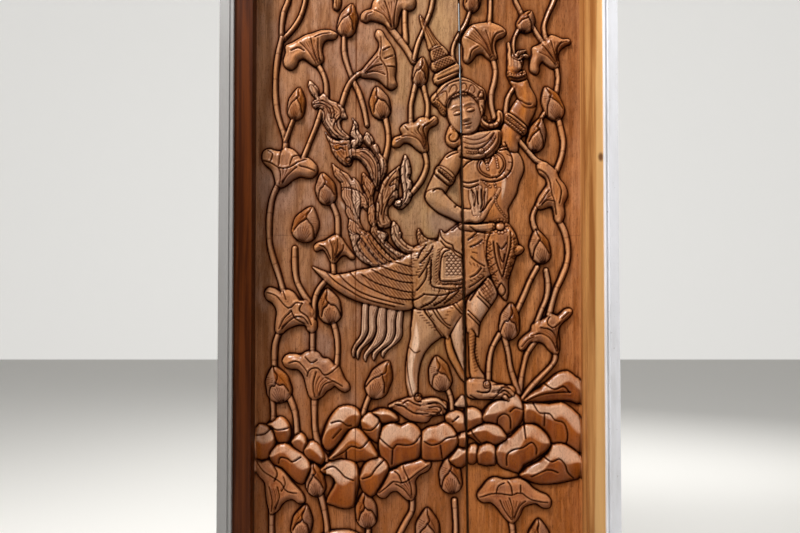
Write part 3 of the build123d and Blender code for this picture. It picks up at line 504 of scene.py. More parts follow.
# %% Shapes of the figure
TAIL = [
    (9, 3, 0.3, "332,163 337,167 343,171 348,174 352,180 353,177 358,181 361,187 363,192 367,195 "
     "369,200 369,205 366,210 363,206 360,210 360,222 366,232 376,244 388,254 400,259 390,262 376,265 "
     "365,260 357,252 352,242 350,234 348,228 349,219 346,212 346,204 342,197 342,190 341,183 337,178 "
     "334,174 333,168"),
    (10, 2.5, 0.2, "363,172 369,178 375,186 374,193 373,200 376,212 377,224 370,224 368,212 "
     "369,202 366,194 363,186 362,178"),
    (11, 3, 0.8, "349,229 353,232 358,234 360,238 357,243 360,250 367,258 374,265 364,262 356,254 "
     "352,243"),
    (11.5, 3, 0.0, "360,238 365,243 372,252 381,262 384,266 374,267 366,260 360,251 357,243"),
    (12.5, 3, 0.1, "362,231 368,237 375,247 384,257 391,263 383,266 374,257 366,247 360,238"),
    (13, 3, 0.0, "368,231 374,238 382,248 391,257 396,261 388,263 379,255 371,245 366,236"),
    (14, 3, 0.2, "374,222 379,231 387,241 396,250 405,257 396,260 387,252 378,242 371,232"),
    (13, 2, 0.8, "377,230 383,231 387,233 388,238 385,241 392,247 400,252 408,256 400,256 390,250 "
     "380,240"),
    (13, 3, 0.4, "393,221 396,223 399,227 400,231 402,233 401,237 405,242 411,246 420,247 432,241 "
     "425,248 415,253 406,253 398,247 393,240 391,231"),
    (10, 2, 0.2, "418,229 420,229 424,236 430,239 438,238 431,243 421,246 418,240 417,234"),
    (11, 3, 0.15, "400,165 396,168 391,172 387,176 383,181 380,190 377,200 376,212 378,224 382,228 "
     "390,226 391,222 388,216 388,208 392,203 395,199 398,197 398,190 399,180 400,172"),
    (14, 2.2, 1.0, "405,154 408,158 410,164 411,172 409,178 412,181 412,187 410,191 412,194 "
     "410,200 406,205 402,208 398,208 394,205 395,201 399,199 403,197 403,191 402,184 401,176 401,167 "
     "403,160"),
    (11, 2.5, 0.3, "367,131 372,136 374,141 373,144 376,143 379,148 380,153 382,155 386,161 387,168 "
     "384,176 380,182 378,176 380,168 377,158 372,150 366,144 363,139 365,134"),
    (10, 2.5, 0.8, "352,117 355,120 358,124 358,130 361,134 363,138 361,143 357,147 354,149 351,145 "
     "350,140 354,138 350,134 352,128 353,122"),
    (12, 3, 0.25, "350,148 358,148 364,147 370,150 376,157 380,166 380,178 377,190 374,184 371,177 "
     "367,169 362,162 357,158 350,158"),
    (11.5, 3, 0.0, "325,131 328,135 332,138 338,140 344,138 350,140 351,148 352,156 352,161 350,165 "
     "345,165 341,162 336,157 332,150 330,143 327,137"),
    (11, 3, 0.3, "309,79 314,83 318,88 319,95 323,92 326,95 330,99 336,101 340,104 344,108 345,112 "
     "347,117 342,118 340,121 341,127 344,131 350,137 346,139 338,138 333,136 328,130 323,122 321,114 "
     "322,109 318,107 314,107 312,103 313,99 316,98 311,93 309,88 308,84"),
]
WING = ("312,266 322,270 334,274 346,273 358,270 370,268 381,265 392,261 402,257 412,252 420,254 "
        "417,270 416,288 413,300 412,308 400,310 388,308 375,305 362,302 349,297 337,290 326,281 "
        "318,273")
TAIL_FEATHERS = [
    "363,303 369,303 368,320 368,330 364,338 357,347 354,357 352,351 355,343 361,334 362,320",
    "370,303 379,305 376,318 376,330 372,339 362,348 358,359 357,350 364,341 369,331 369,318",
    "380,305 387,307 386,320 386,332 382,342 369,353 366,361 364,354 372,343 377,331 377,318",
    "388,307 397,309 395,322 395,333 391,342 379,351 374,360 373,352 383,342 387,332 387,320",
    "398,309 403,311 402,325 402,335 397,342 387,350 383,357 382,351 391,343 396,333 396,322",
]
FIGURE = [
    (13, 10, 0.7, 0.2,
     "413,309 412,318 411,326 411,336 409,346 407,356 406,368 406,380 408,390 411,399 417,397 418,388 "
     "418,376 420,364 424,353 430,345 436,340 442,336 447,337 450,328 456,316 460,300 452,304 440,307 "
     "425,308"),
    (13, 7, 0.5, 0.4,
     "451,326 455,319 460,313 465,308 465,345 465,376 460,363 455,350 451,338"),
    (11, 3, 1.0, 0.0,
     "446,337 450,336 453,348 458,360 463,370 467,382 461,378 455,368 449,357 446,346"),
    (16, 8, 0.7, 0.15,
     "424,309 440,307 462,298 463,311 456,322 449,335 447,338 440,330 432,320"),
    (15, 9, 0.6, 0.23,
     "467,301 480,286 488,277 497,293 490,306 480,322 478,336 474,331 467,331"),
    (12, 5, 0.8, 0.05,
     "469,329 475,334 474,352 478,366 485,378 474,380 470,372 469,348"),
    (14, 5, 0.7, 0.15,
     "466,380 476,377 488,379 500,384 512,385 515,391 506,397 486,398 468,396"),
    (14, 5, 0.8, 0.1,
     "391,404 406,397 417,395 424,398 434,399 446,401 445,412 432,415 426,421 410,419 398,411"),
    (15, 12, 0.7, 0.15,
     "412,250 420,244 430,240 438,240 440,229 445,233 452,228 458,224 465,222 490,223 505,222 511,226 "
     "517,238 516,256 505,270 488,276 478,286 468,294 455,302 440,307 425,309 414,306 413,290 412,270"),
    (18, 2.5, 0.5, 0.23,
     "440,251 450,248 456,252 462,258 463,282 450,283 440,281"),
    (19, 5, 0.9, 0.1,
     "486,230 484,240 484,250 486,260 489,270 495,285 500,294 506,300 508,291 508,281 511,270 514,262 "
     "516,254 518,244 516,235 512,229 508,226 501,231 495,230"),
    (16, 3, 0.8, 0.05,
     "515,246 520,245 524,249 519,254 514,254"),
    (19, 2.5, 0.5, 0.2,
     "460,222 475,224 493,222 493,230 475,231 460,229"),
    (16, 13, 0.75, 0.1,
     "462,152 470,156 480,158 490,156 497,150 502,143 506,142 510,150 518,152 523,160 524,170 520,180 "
     "518,186 517,192 512,201 508,209 509,218 506,224 495,222 480,223 465,222 464,205 462,190 461,170"),
    (16.5, 3, 0.5, 0.2,
     "458,152 465,157 475,159 485,158 493,154 499,146 502,136 501,130 496,129 490,130 480,131 472,133 "
     "464,134 460,138 458,145"),
    (14, 8, 0.7, 0.15,
     "452,151 459,150 462,153 461,165 456,175 450,184 445,193 435,204 428,201 425,196 427,189 432,178 "
     "436,170 441,162 446,155"),
    (16, 8, 0.7, 0.17,
     "427,191 435,189 442,191 450,199 458,206 464,209 464,222 457,221 449,217 440,213 432,207 426,199"),
    (17, 2.5, 0.6, 0.15,
     "440,165 455,176 449,185 435,174"),
    (19, 2.5, 0.45, 0.25,
     "462,209 470,209 474,204 486,205 489,208 487,214 483,220 477,223 470,222 463,222"),
    (14, 8, 0.9, 0.07,
     "519,97 527,92 534,95 537,103 535,112 530,122 525,133 519,140 518,151 508,150 502,143 501,132 "
     "503,125 508,115 513,105"),
    (16, 8, 0.9, 0.07,
     "509,77 518,80 527,77 531,86 536,95 537,103 532,107 524,106 519,98 515,88"),
    (17, 2.5, 0.8, 0.1,
     "509,112 527,126 522,135 504,120"),
    (17, 2.5, 0.8, 0.1,
     "508,69 516,72 525,69 527,77 518,80 509,77"),
    (14, 4, 0.9, 0.07,
     "509,54 513,55 519,57 524,60 522,66 519,72 514,73 509,71 508,64"),
    (9, 4, 0.8, 0.05,
     "420,12 426,21 431,29 436,37 441,44 430,49 427,40 424,31 421,21"),
    (12, 3, 0.7, 0.1,
     "431,48 441,43 449,54 434,61"),
    (13, 3, 0.7, 0.1,
     "432,61 449,54 455,61 436,71"),
    (14, 3, 0.7, 0.1,
     "435,73 457,62 461,71 438,84"),
    (13, 4, 0.8, 0.05,
     "431,97 433,103 438,107 441,112 445,115 447,108 452,96 449,87 441,88 435,92"),
    (15, 3.5, 0.6, 0.15,
     "437,92 440,86 447,80 455,76 463,76 471,79 478,84 485,89 486,98 483,104 476,103 466,100 456,101 "
     "449,106 442,104"),
    (19, 7, 0.4, 0.15,
     "447,106 448,100 453,96 460,93 468,94 474,97 479,103 480,112 480,122 477,130 471,134 464,134 "
     "457,130 451,122 448,114"),
    (15, 2, 0.6, 0.15,
     "479,99 484,99 485,108 483,116 479,114"),
    (15, 3, 0.7, 0.1,
     "480,119 482,125 488,129 495,128 501,124 504,118 503,112 499,109 497,112 497,118 494,122 488,122 "
     "484,119 484,113 481,113"),
    (13, 4, 0.8, 0.05,
     "451,124 447,132 446,139 448,144 453,147 458,146 461,142 460,135 456,130"),
]

# %% [markdown]
# The small cuts carry most of what the eye enjoys: the edges of ornaments, fingers, pleats and
# feathers. They are sorted by their size, from the deep edge of a petal to a fine engraved line, and
# the cords are lines that stand up instead of in.

# %% Deep cuts of the tail, with the wood lower on their right
TAIL_CUTS = """312,84 316,88 318,93 319,98
309,89 312,93 313,98 314,103
314,101 320,100 327,102 332,106 334,111 334,117
313,104 320,103 326,105 330,109 331,114 331,118
316,107 322,105 327,108 329,113
320,108 323,110 325,115 325,121 329,127 333,133 338,137
331,118 335,118 336,121 334,124 334,128 338,133 343,137
338,106 341,111 340,117 337,120 337,126 341,131 346,135
322,113 323,120 327,127 332,134
333,148 337,150 341,148 345,150
330,141 334,144 338,143 342,145 347,144
341,163 347,166 351,164 352,160 350,157 347,158 346,161 348,162
352,157 358,158 363,162 367,168 370,175 374,184 377,190
360,149 366,149 372,154 377,162 378,171 378,180 377,187
360,151 365,153 371,158 375,165 376,174 375,182
361,156 367,160 371,166 373,173 373,180
364,140 368,145 374,151 378,158 380,167 380,176
368,135 371,140 372,146 377,153 380,158
353,121 356,127 356,133 359,139 358,144
384,160 384,166 383,172 381,178
405,160 405,168 405,176 406,183 407,190 406,198 402,204
399,168 400,176 402,184 403,191 403,198 401,205
395,203 396,200 400,199 402,202 400,205 398,204
391,186 394,184 397,186 396,189
396,170 392,175 388,181 385,187
398,177 393,180 389,185
400,188 394,191 390,196 387,203 384,212 384,220
393,196 389,200 387,206
341,172 346,178 350,184 352,190
341,187 349,188 357,190 363,194 366,199 368,205
334,178 339,181 343,182
343,203 350,208 354,215
347,217 354,221 360,226 364,230
348,230 353,234 358,234 360,238 357,243 360,250 366,257 372,262
352,191 352,198 354,206 357,214 361,221 367,227
359,192 361,200 360,208
366,174 370,179 375,186 374,192 373,197 375,203 376,212 375,220
362,176 364,184 368,190 371,197 371,205
378,192 378,200 380,208 378,217 380,224
383,190 382,198 383,206 381,214
360,237 366,245 372,254 380,262 386,266
368,236 374,246 382,256 390,262
374,232 380,240 388,249 396,256 401,259
370,233 364,230 360,228
385,243 392,248 400,252 408,254
378,230 384,232 387,236 384,241
394,228 396,236 402,244 409,249
400,229 402,234 406,239
420,231 424,236 430,239 437,239"""
WING_CUTS = """382,266 392,270 405,274 418,276
372,269 385,276 400,281 417,283
362,274 375,282 390,287 405,291 416,292
350,272 360,282 375,290 390,296 405,299 415,299
338,272 346,281 358,290 372,296 390,301 404,304
326,271 336,281 350,290 362,297 378,302 395,306
396,262 406,265 418,268"""

# %% Deep cuts of the figure
FIGURE_CUTS = """431,49 441,45
433,61 448,54
437,72 456,62
438,79 459,70
440,84 459,76
434,100 438,94 443,89 448,84 455,81 462,80 469,81 475,84 480,89
446,106 449,99 453,95 459,92 465,92 471,94 476,98
478,97 481,90 484,92 484,98 480,99
482,106 484,112 481,119 484,125 490,128 497,127 501,121 500,113
486,113 488,117 487,121 490,123 495,121 497,116
458,131 459,136 456,141 451,141 449,137 451,134
465,148 471,149 478,149 484,146 490,140 494,133
460,157 470,159 480,159 487,155 494,149 498,142 499,132
463,167 467,163 472,160
479,160 477,166 479,172 484,176 490,178 496,177
481,161 479,166 481,171 485,174 490,176
496,151 502,155 505,161 505,168 501,174 496,178
494,152 500,156 503,162 503,167 499,173
505,142 509,150 512,158 512,166 509,173 504,178 497,181 489,182 481,180
500,147 507,146
500,150 508,149
483,159 487,165 491,158
460,180 468,183 478,181
463,186 470,188 478,185
471,190 474,194 475,200 474,206
477,192 477,198 478,204
481,190 481,197 482,204 480,209
485,192 484,198 484,204 482,210
491,199 487,204 484,209 480,212
433,191 436,189 441,189 444,191 450,197 457,204 463,209
440,167 453,178
438,171 450,182
436,175 447,185
447,157 452,154 458,152
455,207 459,201
508,115 525,129
506,119 523,133
510,112 527,126
508,73 516,75 524,73
509,76 517,78 525,76
509,79 517,81 526,79
515,95 521,100 527,104 531,104
513,52 516,57 521,56 526,51
514,58 520,60 524,56
518,54 520,50 524,49
520,60 523,67 522,74
512,44 513,52
463,224 475,224 487,223
470,227 476,231 484,233 492,233
440,230 441,236 446,242 452,245 454,250 459,253 463,256
441,241 446,247 452,250 456,255 463,259
452,230 457,226 461,224
449,250 444,252 441,258 440,268 440,280 448,281 456,281 463,279
431,259 431,272 431,285 440,288 452,289 462,287
424,294 440,295 452,292 460,288
459,290 452,297 444,303
449,293 443,300 434,305
438,295 431,302 421,307
420,263 425,258 430,252 433,246
419,277 424,270 428,263 430,257
417,290 422,284 426,277 427,268
426,245 421,251 418,258
413,300 418,298 424,294
493,242 494,252 496,262 499,271 501,277
510,232 510,245 507,257 504,268 502,276
490,233 487,240 486,248 486,257 488,265
497,244 501,249 506,243
498,247 499,255 502,262 504,254
500,283 497,289 501,296 505,290 501,283
468,240 473,236 478,231
470,247 477,244 482,240
471,257 477,262 484,266
470,277 476,274 481,268
469,287 477,282 484,276
470,300 478,288 486,279
477,296 489,308
479,294 491,305
468,310 480,322
468,314 479,325
433,310 438,318 444,324 449,328
436,309 441,317 446,323 450,325
453,304 457,309 461,313
413,309 412,317 411,326
424,309 428,316 432,321 436,328 441,335
421,400 417,400 415,396 418,391 421,393
428,402 436,401 442,404 446,409
429,406 437,405 441,408 436,413 430,413
395,403 402,404 408,408 416,412 428,412
403,402 408,399 414,402 420,404
488,380 490,385 488,390 482,391 477,390
493,397 498,392 504,389 508,392
470,394 480,399 492,398
497,391 502,386 508,387"""

# %% Fine cuts of the figure
FINE_CUTS = """406,322 404,340 402,358 403,378 407,394
409,346 415,352 420,350
421,14 427,28 436,44
422,19 428,34 433,46
422,16 431,31 438,44
440,94 446,91 447,97 445,103
437,97 444,90 448,85
449,92 452,86 456,85 457,90 453,94
460,91 461,85 465,83 467,88 464,91
468,92 470,86 473,85 475,90 473,93
433,102 438,105 442,109 445,113
436,99 441,102 445,107
463,142 469,144 477,144 486,141 493,135
489,123 489,127
463,137 469,139 476,140 484,137 490,132
493,123 494,127
497,121 500,124
485,154 488,163
505,148 509,150
507,154 511,156
508,162 512,163
507,170 511,172
504,175 507,179
442,257 447,256
455,286 457,282
440,289 438,293
450,289 448,293
432,264 430,269
432,276 430,281
496,243 497,252 499,261 501,269
507,236 506,248 504,258 502,268
486,247 491,244
486,254 492,250
486,261 493,257
488,268 495,263
491,275 497,270
512,240 516,238
511,249 516,247
509,258 514,256
507,267 511,266
505,276 509,275
472,238 477,235
472,252 477,253
469,300 476,290 484,283
480,286 484,291
484,283 488,288
488,280 492,286
478,291 481,296
427,309 430,315 434,320
429,317 432,314
456,302 460,308 463,311
410,330 408,345 407,362 409,380 413,395
432,410 438,411 442,414
500,386 506,385 510,388"""

# %% Raised cords
CORDS = """432,48 441,44
434,60 448,53
437,74 457,64
439,81 459,73
447,104 450,98 454,94 460,91 466,91 472,93 477,97
463,156 471,158 479,156 486,153 492,147 497,140 498,132
480,162 479,167 481,172 486,175 492,176
439,169 451,180
437,173 449,183
509,113 526,127
507,117 524,131
509,71 516,73 525,71
509,75 517,77 525,75
443,279 443,262 444,255 448,251 453,254 458,258
443,279 452,279 462,277
433,260 433,284 442,286 453,286
491,240 492,252 494,263 498,273 501,280
512,234 512,246 509,258 506,269 503,278
442,236 446,241 452,244
478,295 490,306
469,312 480,323
434,309 440,317 445,323 450,327
463,222 475,222 488,221"""
BEADS = """496,194 495,199 496,204 499,209 503,214 508,218
494,151 496,157 497,163 498,170
486,158 487,164 488,171
441,171 445,174 450,179
506,116 514,121 524,130
438,168 446,173 453,181
507,122 514,127 521,133
509,73 517,75 526,73
450,102 453,97 459,94 466,94 472,96 476,100
447,112 449,119 452,126 455,130
433,101 438,104 442,109 446,113
483,181 486,184 490,187
494,183 496,189
466,152 472,153 479,152 486,149 491,143 495,136"""

# %% Barbs beside these lines, with their length
BARBS = [
    ("434,343 426,353 421,366 418,380 417,390", -3.2),
    ("434,247 432,262 432,284 442,287 452,288 463,285", 3.4), ("440,248 438,262 438,281", 2.4),
    ("430,250 425,262 418,275", 3.0), ("426,248 420,256 414,264", 2.6), ("419,252 414,258 412,262", 2.0),
    ("463,294 450,300 436,304 424,306", 3.0), ("463,279 452,282 440,282", -2.2),
    ("486,246 487,258 490,270 496,284", -2.6), ("512,236 511,250 508,264 503,278", 2.6),
    ("458,302 452,308 446,318", 2.4), ("470,246 477,244 484,240", 2.4), ("469,262 477,264 484,268", 2.4),
    ("470,280 477,277 483,271", 2.2), ("417,312 424,320 434,330", -2.6)]

# %% Fingers and toes, painted highlights, and patches that are bloomed
# path, half its width in squares, crown in millimetres, how golden, and how far worn pale
FINGERS = [
    ("474,214 473,206 471,199 470,190", 2.3, 16.5, 0.5, 0.45),
    ("477,214 476,205 475,197 474,188", 2.3, 17, 0.5, 0.4),
    ("480,214 480,205 480,196 480,187", 2.3, 17, 0.5, 0.4),
    ("483,214 484,205 485,197 486,189", 2.2, 16.5, 0.5, 0.3),
    ("482,217 487,209 491,202 495,197 499,189", 2.5, 17, 0.7, 0.2),
    ("511,64 510,55 510,48 509,42", 1.9, 14, 0.8, 0.2),
    ("514,64 514,52 514,44 515,36", 2.0, 15, 0.8, 0.2),
    ("517,64 516,57 520,51 526,50", 2.5, 15, 0.8, 0.3),
    ("520,66 520,60 523,55 528,55", 2.5, 14, 0.8, 0.3),
    ("422,401 431,399 438,400 445,406", 2.7, 16, 0.5, 0.3),
    ("422,406 431,405 438,406 441,412", 2.4, 15, 0.5, 0.2),
    ("418,410 427,412 436,413", 2.2, 13.5, 0.5, 0.2),
    ("406,404 398,402 390,405", 2.2, 13, 0.5, 0.2),
    ("486,388 496,386 505,387 512,393", 2.7, 15.5, 0.8, 0.2),
    ("484,394 494,393 502,394 507,398", 2.4, 15, 0.8, 0.3),
]
# Pale patches painted as highlights, where light catches the legs, the body and the flames.
PAINTED_HIGHLIGHT_PATCHES = [
    ("416,320 419,334 419,346 415,358 413,372 416,388 411,394 407,380 407,364 411,346", 0.9),
    ("352,190 360,191 361,206 359,221 354,219 352,206", 0.8), ("340,200 346,205 346,211 341,206", 0.6),
    ("350,176 356,180 360,187 352,186 347,182", 0.6), ("364,185 371,193 374,190 370,181 365,178", 0.4),
    ("364,130 369,133 373,140 369,142 365,137", 0.8), ("374,144 378,148 380,157 376,153", 0.7),
    ("381,156 385,162 386,170 381,180 380,170", 0.8), ("392,184 398,182 400,190 396,198 390,198", 0.6),
    ("327,112 333,118 334,126 330,130 325,122", 0.6), ("338,102 343,107 345,116 339,110", 0.5),
    ("453,323 459,322 461,340 458,350 454,340", 0.6), ("471,300 478,296 486,306 480,318 471,310", 0.6),
    ("408,254 419,251 419,258 408,259", 0.9), ("484,388 494,384 504,386 498,392 486,392", 0.5),
    ("501,181 506,180 504,194 501,200", 0.7)]
BLOOM_PATCHES = [
    ("258,176 280,164 300,168 326,176 340,196 338,220 324,242 300,250 274,246 260,216", 0.9),
    ("336,34 356,40 374,50 384,64 380,84 364,94 348,80 338,58", 0.8),
    ("390,104 408,102 408,126 392,130", 0.9), ("424,212 442,206 464,216 466,236 446,240 428,234", 0.9),
    ("300,330 322,326 338,340 330,362 308,366", 0.8), ("330,388 352,380 360,400 346,420 330,412", 0.7),
    ("268,20 286,14 290,44 278,70 268,52", 0.6), ("470,66 492,62 496,84 480,96 468,86", 0.6)]

# %% [markdown]
# ## Carving on a grid
# Relief is a height above the ground at every spot, so the whole carving is kept as a grid of heights, two
# and a half samples to the square. Beside the height each spot keeps four numbers for the finish: how dark
# the stain and the painted shade lie, how golden the wood is, how pale it is from wear and from painted
# highlights, and how much grey bloom lies on it.

# %% The grids
samples = 2.5
beyond = 2
columns = np.arange(column_at(leaf_low.x) - beyond, column_at(leaf_high.x) + beyond, 1 / samples)
rows = np.arange(row_at(leaf_high.z) - beyond, row_at(leaf_low.z) + beyond, 1 / samples)
height = np.zeros((len(rows), len(columns)))
# The stain grid also holds painted shade, and the pale grid painted highlights.
stain_and_shade = np.zeros_like(height)
gold = np.zeros_like(height)
pale = np.zeros_like(height)
bloom = np.zeros_like(height)
print("grid", height.shape)

# %% Lines through points


def spots(text):
    return np.array([[float(number) for number in pair.split(",")] for pair in text.split()])


def curved(line, closed=False, steps=3):
    """A smooth line through the points."""
    count = len(line)
    if count < 3:
        return line
    pick = (lambda i: line[i % count]) if closed else (lambda i: line[min(max(i, 0), count - 1)])
    made = []
    for i in range(count if closed else count - 1):
        a, b, c, d = (pick(i + k) for k in (-1, 0, 1, 2))
        for t in np.arange(steps) / steps:
            made.append(b + 0.5 * t * (c - a + t * (2 * a - 5 * b + 4 * c - d + t * (3 * (b - c) + d - a))))
    if not closed:
        made.append(line[-1])
    return np.array(made)


print("points of the first leaf", len(spots(LEAVES[0][0])), "and", len(curved(spots(LEAVES[0][0]), True)))

# %% Where a line falls on the grids


def window(line, reach):
    """The part of the grids round a line, and the column and row of each of its spots."""
    low, high = line.min(0) - reach, line.max(0) + reach
    across = slice(*np.searchsorted(columns, [low[0], high[0]]))
    down = slice(*np.searchsorted(rows, [low[1], high[1]]))
    return (down, across), *np.meshgrid(columns[across], rows[down])


def distance(x, y, line, closed=False):
    """How far each spot is from the line, on which side, and how far along."""
    ends = np.roll(line, -1, axis=0) if closed else line[1:]
    near = np.full(x.shape, 1e9)
    side = np.zeros_like(near)
    along = np.zeros_like(near)
    run = 0.0
    for (ax, ay), (bx, by) in zip(line, ends):
        dx, dy = bx - ax, by - ay
        length = math.hypot(dx, dy) + 1e-9
        share = np.clip(((x - ax) * dx + (y - ay) * dy) / length ** 2, 0, 1)
        away = np.hypot(x - ax - share * dx, y - ay - share * dy)
        closer = away < near
        near[closer] = away[closer]
        side[closer] = np.sign((x - ax) * dy - (y - ay) * dx)[closer]
        along[closer] = (run + share * length)[closer]
        run += length
    return near, side, along


def within(x, y, line):
    """Which spots lie inside a closed line."""
    inside = np.zeros(x.shape, bool)
    for (ax, ay), (bx, by) in zip(line, np.roll(line, -1, axis=0)):
        if ay != by:
            crossing = (ay > y) != (by > y)
            inside ^= crossing & (x < ax + (y - ay) / (by - ay) * (bx - ax))
    return inside


def shape_on_grid(line, reach=4):
    """The window of a closed line, how far its spots are from the line, and which lie inside."""
    part, x, y = window(line, reach)
    away, _, _ = distance(x, y, line, closed=True)
    return part, x, y, away, within(x, y, line)


# %% [markdown]
# Three strokes make everything. Laying a motif raises it with a cut edge round its foot, stained and
# painted with shade that is darkest below it and to its right. A groove cuts a line into what is there.
# Beads put a row of small balls on a line.

# %% Laying a motif
edge_stain_and_shade = 1.5
edge_cut = 2.6
rim_stain = 0.35
least_rise = 1.5


def half_round(share):
    """The height of a half circle: 1 in its middle, and 0 at its edge."""
    return np.sqrt(np.clip(1 - share ** 2, 0, 1))


def darken(part, amount):
    stain_and_shade[part] = np.maximum(stain_and_shade[part], amount)


def lay(part, inside, away, tall, golden, worn):
    """Put a motif on the grids. The cut round its foot is stained and painted with shade, darkest below it
    and to its right.
    """
    shadow = np.clip(1 - away / edge_stain_and_shade, 0, 1) * ~inside
    # Painted shade: the band round the foot is made darker below the motif and to its right, where its
    # shadow falls.
    down, across = np.gradient(away)
    shade_below_right = 0.55 + 0.45 * (0.6 * across + 0.8 * down) / (np.hypot(across, down) + 1e-6)
    height[part] = np.where(inside, tall, height[part] - edge_cut * shadow ** 2)
    darken(part, shade_below_right * shadow ** 0.8)
    stain_and_shade[part] = np.where(inside, rim_stain * np.clip(1 - away / 0.9, 0, 1), stain_and_shade[part])
    gold[part] = np.where(inside, golden, gold[part])
    pale[part] = np.where(inside, worn, pale[part])


def raise_shape(text, foot, crown, rounding, golden, worn, hollow=0.0):
    """Raise a closed shape. Over another one it starts from that one's top, not from the ground."""
    part, _, _, away, inside = shape_on_grid(curved(spots(text), closed=True))
    share = np.clip(away / rounding, 0, 1)
    rise = 0.6 * half_round(1 - share) + 0.4 * share
    sink = hollow * np.clip((away - rounding * 0.6) / (2 * rounding), 0, 1)
    base = np.maximum(foot, height[part] - least_rise)
    lay(part, inside, away, base + np.maximum(crown - base, least_rise) * rise - sink, golden, worn)
    return part, away, inside


# %% Knives, and cutting a line
carved_height = 1.5
# half the width of the cut in squares, its depth in millimetres, its stain, and the lip beside it
KNIVES = {
    "petal edge": (0.8, 2.6, 1.0, 1.0), "petal seam": (0.7, 2.4, 0.95, 0.8),
    "back petal": (0.5, 1.2, 0.6, 0.0), "petal ridge": (0.45, 1.3, 0.65, 0.0),
    "petal tick": (0.4, 0.8, 0.5, 0.0), "vein": (0.6, 2.0, 0.9, 1.2), "fine vein": (0.45, 1.2, 0.6, 0.4),
    "rock crack": (0.7, 2.8, 0.95, 0.8), "flame nick": (0.45, 1.8, 0.9, 0.5),
    "flame cut": (0.55, 1.6, 0.95, 0.9), "wing feather": (0.7, 2.0, 0.95, 0.6),
    "deep cut": (0.7, 2.4, 1.0, 1.1), "fine cut": (0.5, 1.5, 0.9, 0.5), "cord": (0.8, -1.5, 0.0, 0.0),
    "barb": (0.4, 1.3, 0.8, 0.4), "border curl": (0.5, 1.2, 0.75, 0.0), "scroll": (0.5, 1.4, 0.85, 0.0),
}


def bell(value, width):
    """1 at zero, and down to nothing within about two widths."""
    return np.exp(-(value / width) ** 2)


def groove(line, knife, step=0.0):
    """Cut a line where there is carving. A step sinks the wood on one side by some millimetres."""
    width, depth, dark, lip = KNIVES[knife]
    part, x, y = window(line, 6 * width + 3)
    away, side, _ = distance(x, y, line)
    carved = height[part] > carved_height
    height[part] -= (depth * bell(away, width) + step * np.exp(-away / 2.2) * (side > 0)) * carved
    height[part] += lip * bell(away - 2.6 * width, 1.5 * width) * carved
    darken(part, dark * bell(away, 0.85 * width) * carved)


def grooves(text, knife, step=0.0):
    for line in text.split("\n"):
        groove(curved(spots(line)), knife, step)


print("knives", len(KNIVES))


# %% [markdown]
# ## Lotus stems and buds
# A stem is a half-round rod that swells a little and carries small knife ticks. A bud is an egg with
# a pointed end, wrapped in petals: one in front, shaped like a pointed arch, and two behind that
# meet over it. The draws of one seeded chance keep two stems or buds from looking the same.

# %% Stems
chance = np.random.default_rng(7)
stem_crown = 9.5
tick_pitch = 26


def carve_stem(half_width, text):
    line = curved(spots(text))
    part, x, y = window(line, half_width + 4)
    away, _, along = distance(x, y, line)
    wide = (half_width - 0.25) * (1 + 0.07 * np.sin(along / 7 + line[0, 0]))
    inside = away < wide
    tall = 1.0 + stem_crown * half_round(away / wide)
    lay(part, inside, np.abs(away - wide), tall, golden=0.85, worn=0.25)
    for run in np.arange(chance.uniform(6, 20), along.max(), tick_pitch):
        tick = bell(along - run, 0.5) * inside
        height[part] -= 0.8 * tick
        darken(part, 0.4 * tick)


for half_width, text in STEMS:
    carve_stem(half_width, text)
print("stems", len(STEMS))

# %% Buds
bud_crown = 15
front_petal = 2.0
arch_width = np.array([-0.86, -0.74, -0.5, -0.2, 0.0, 0.22, 0.5, 0.72])
arch_height = np.array([-0.62, -0.3, -0.02, -0.13, 0.0, -0.16, -0.12, -0.5])
at_tip = np.array([0, 0, 0, 1, 1, 1, 0, 0])
leaning = np.array([0, 0, 0, 0, 1, 1, 0, 0])


def carve_bud(tip_text, foot_text, width):
    """On a bud, u runs from -1 at its foot to 1 at its tip, and v across it."""
    tip, foot = spots(tip_text)[0], spots(foot_text)[0]
    hand = chance.choice((-1, 1))
    lean, tip_at = chance.uniform(-0.12, 0.06), chance.uniform(0.08, 0.34)
    half = np.hypot(*(tip - foot)) / 2
    middle, ahead = (tip + foot) / 2, (tip - foot) / (2 * half)
    aside = np.array([-ahead[1], ahead[0]])
    arch_v, arch_u = arch_width + lean * leaning, arch_height + tip_at * at_tip

    def on_bud(u, v):
        return middle + np.outer(u, ahead) * half + np.outer(v, aside) * width / 2

    def half_girth(u):
        return (1 - u) ** 0.78 * (1 + u) ** 0.5 / 1.06 * (1 + 0.045 * np.sin(6.5 * u + 9 * lean))

    turn = np.linspace(0, 2 * math.pi, 40, endpoint=False)
    u = np.cos(turn)
    part, x, y, away, inside = shape_on_grid(on_bud(u, np.sign(np.sin(turn)) * half_girth(u)))
    u = np.clip(((x - middle[0]) * ahead[0] + (y - middle[1]) * ahead[1]) / half, -1, 1)
    v = ((x - middle[0]) * aside[0] + (y - middle[1]) * aside[1]) / (width / 2) * hand
    egg = half_round(v / (half_girth(u) + 1e-3)) * np.clip(1 - np.abs(u) ** 3, 0, 1) ** 0.5
    front = inside & (u < np.interp(v, arch_v, arch_u, left=-1, right=-1))
    petals = np.where(front, front_petal, np.where(v > lean, -0.6, 0.4))
    lay(part, inside, away, 2 + bud_crown * egg + petals, golden=0.9, worn=0.0)
    darken(part, 0.16 * (inside & ~front))
    pale[part] = np.where(front, 0.25, np.where(inside & (v < lean), 0.35, pale[part]))
    cut_bud(lambda u, v: curved(on_bud(u, np.array(v) * hand)), arch_u, arch_v, hand)


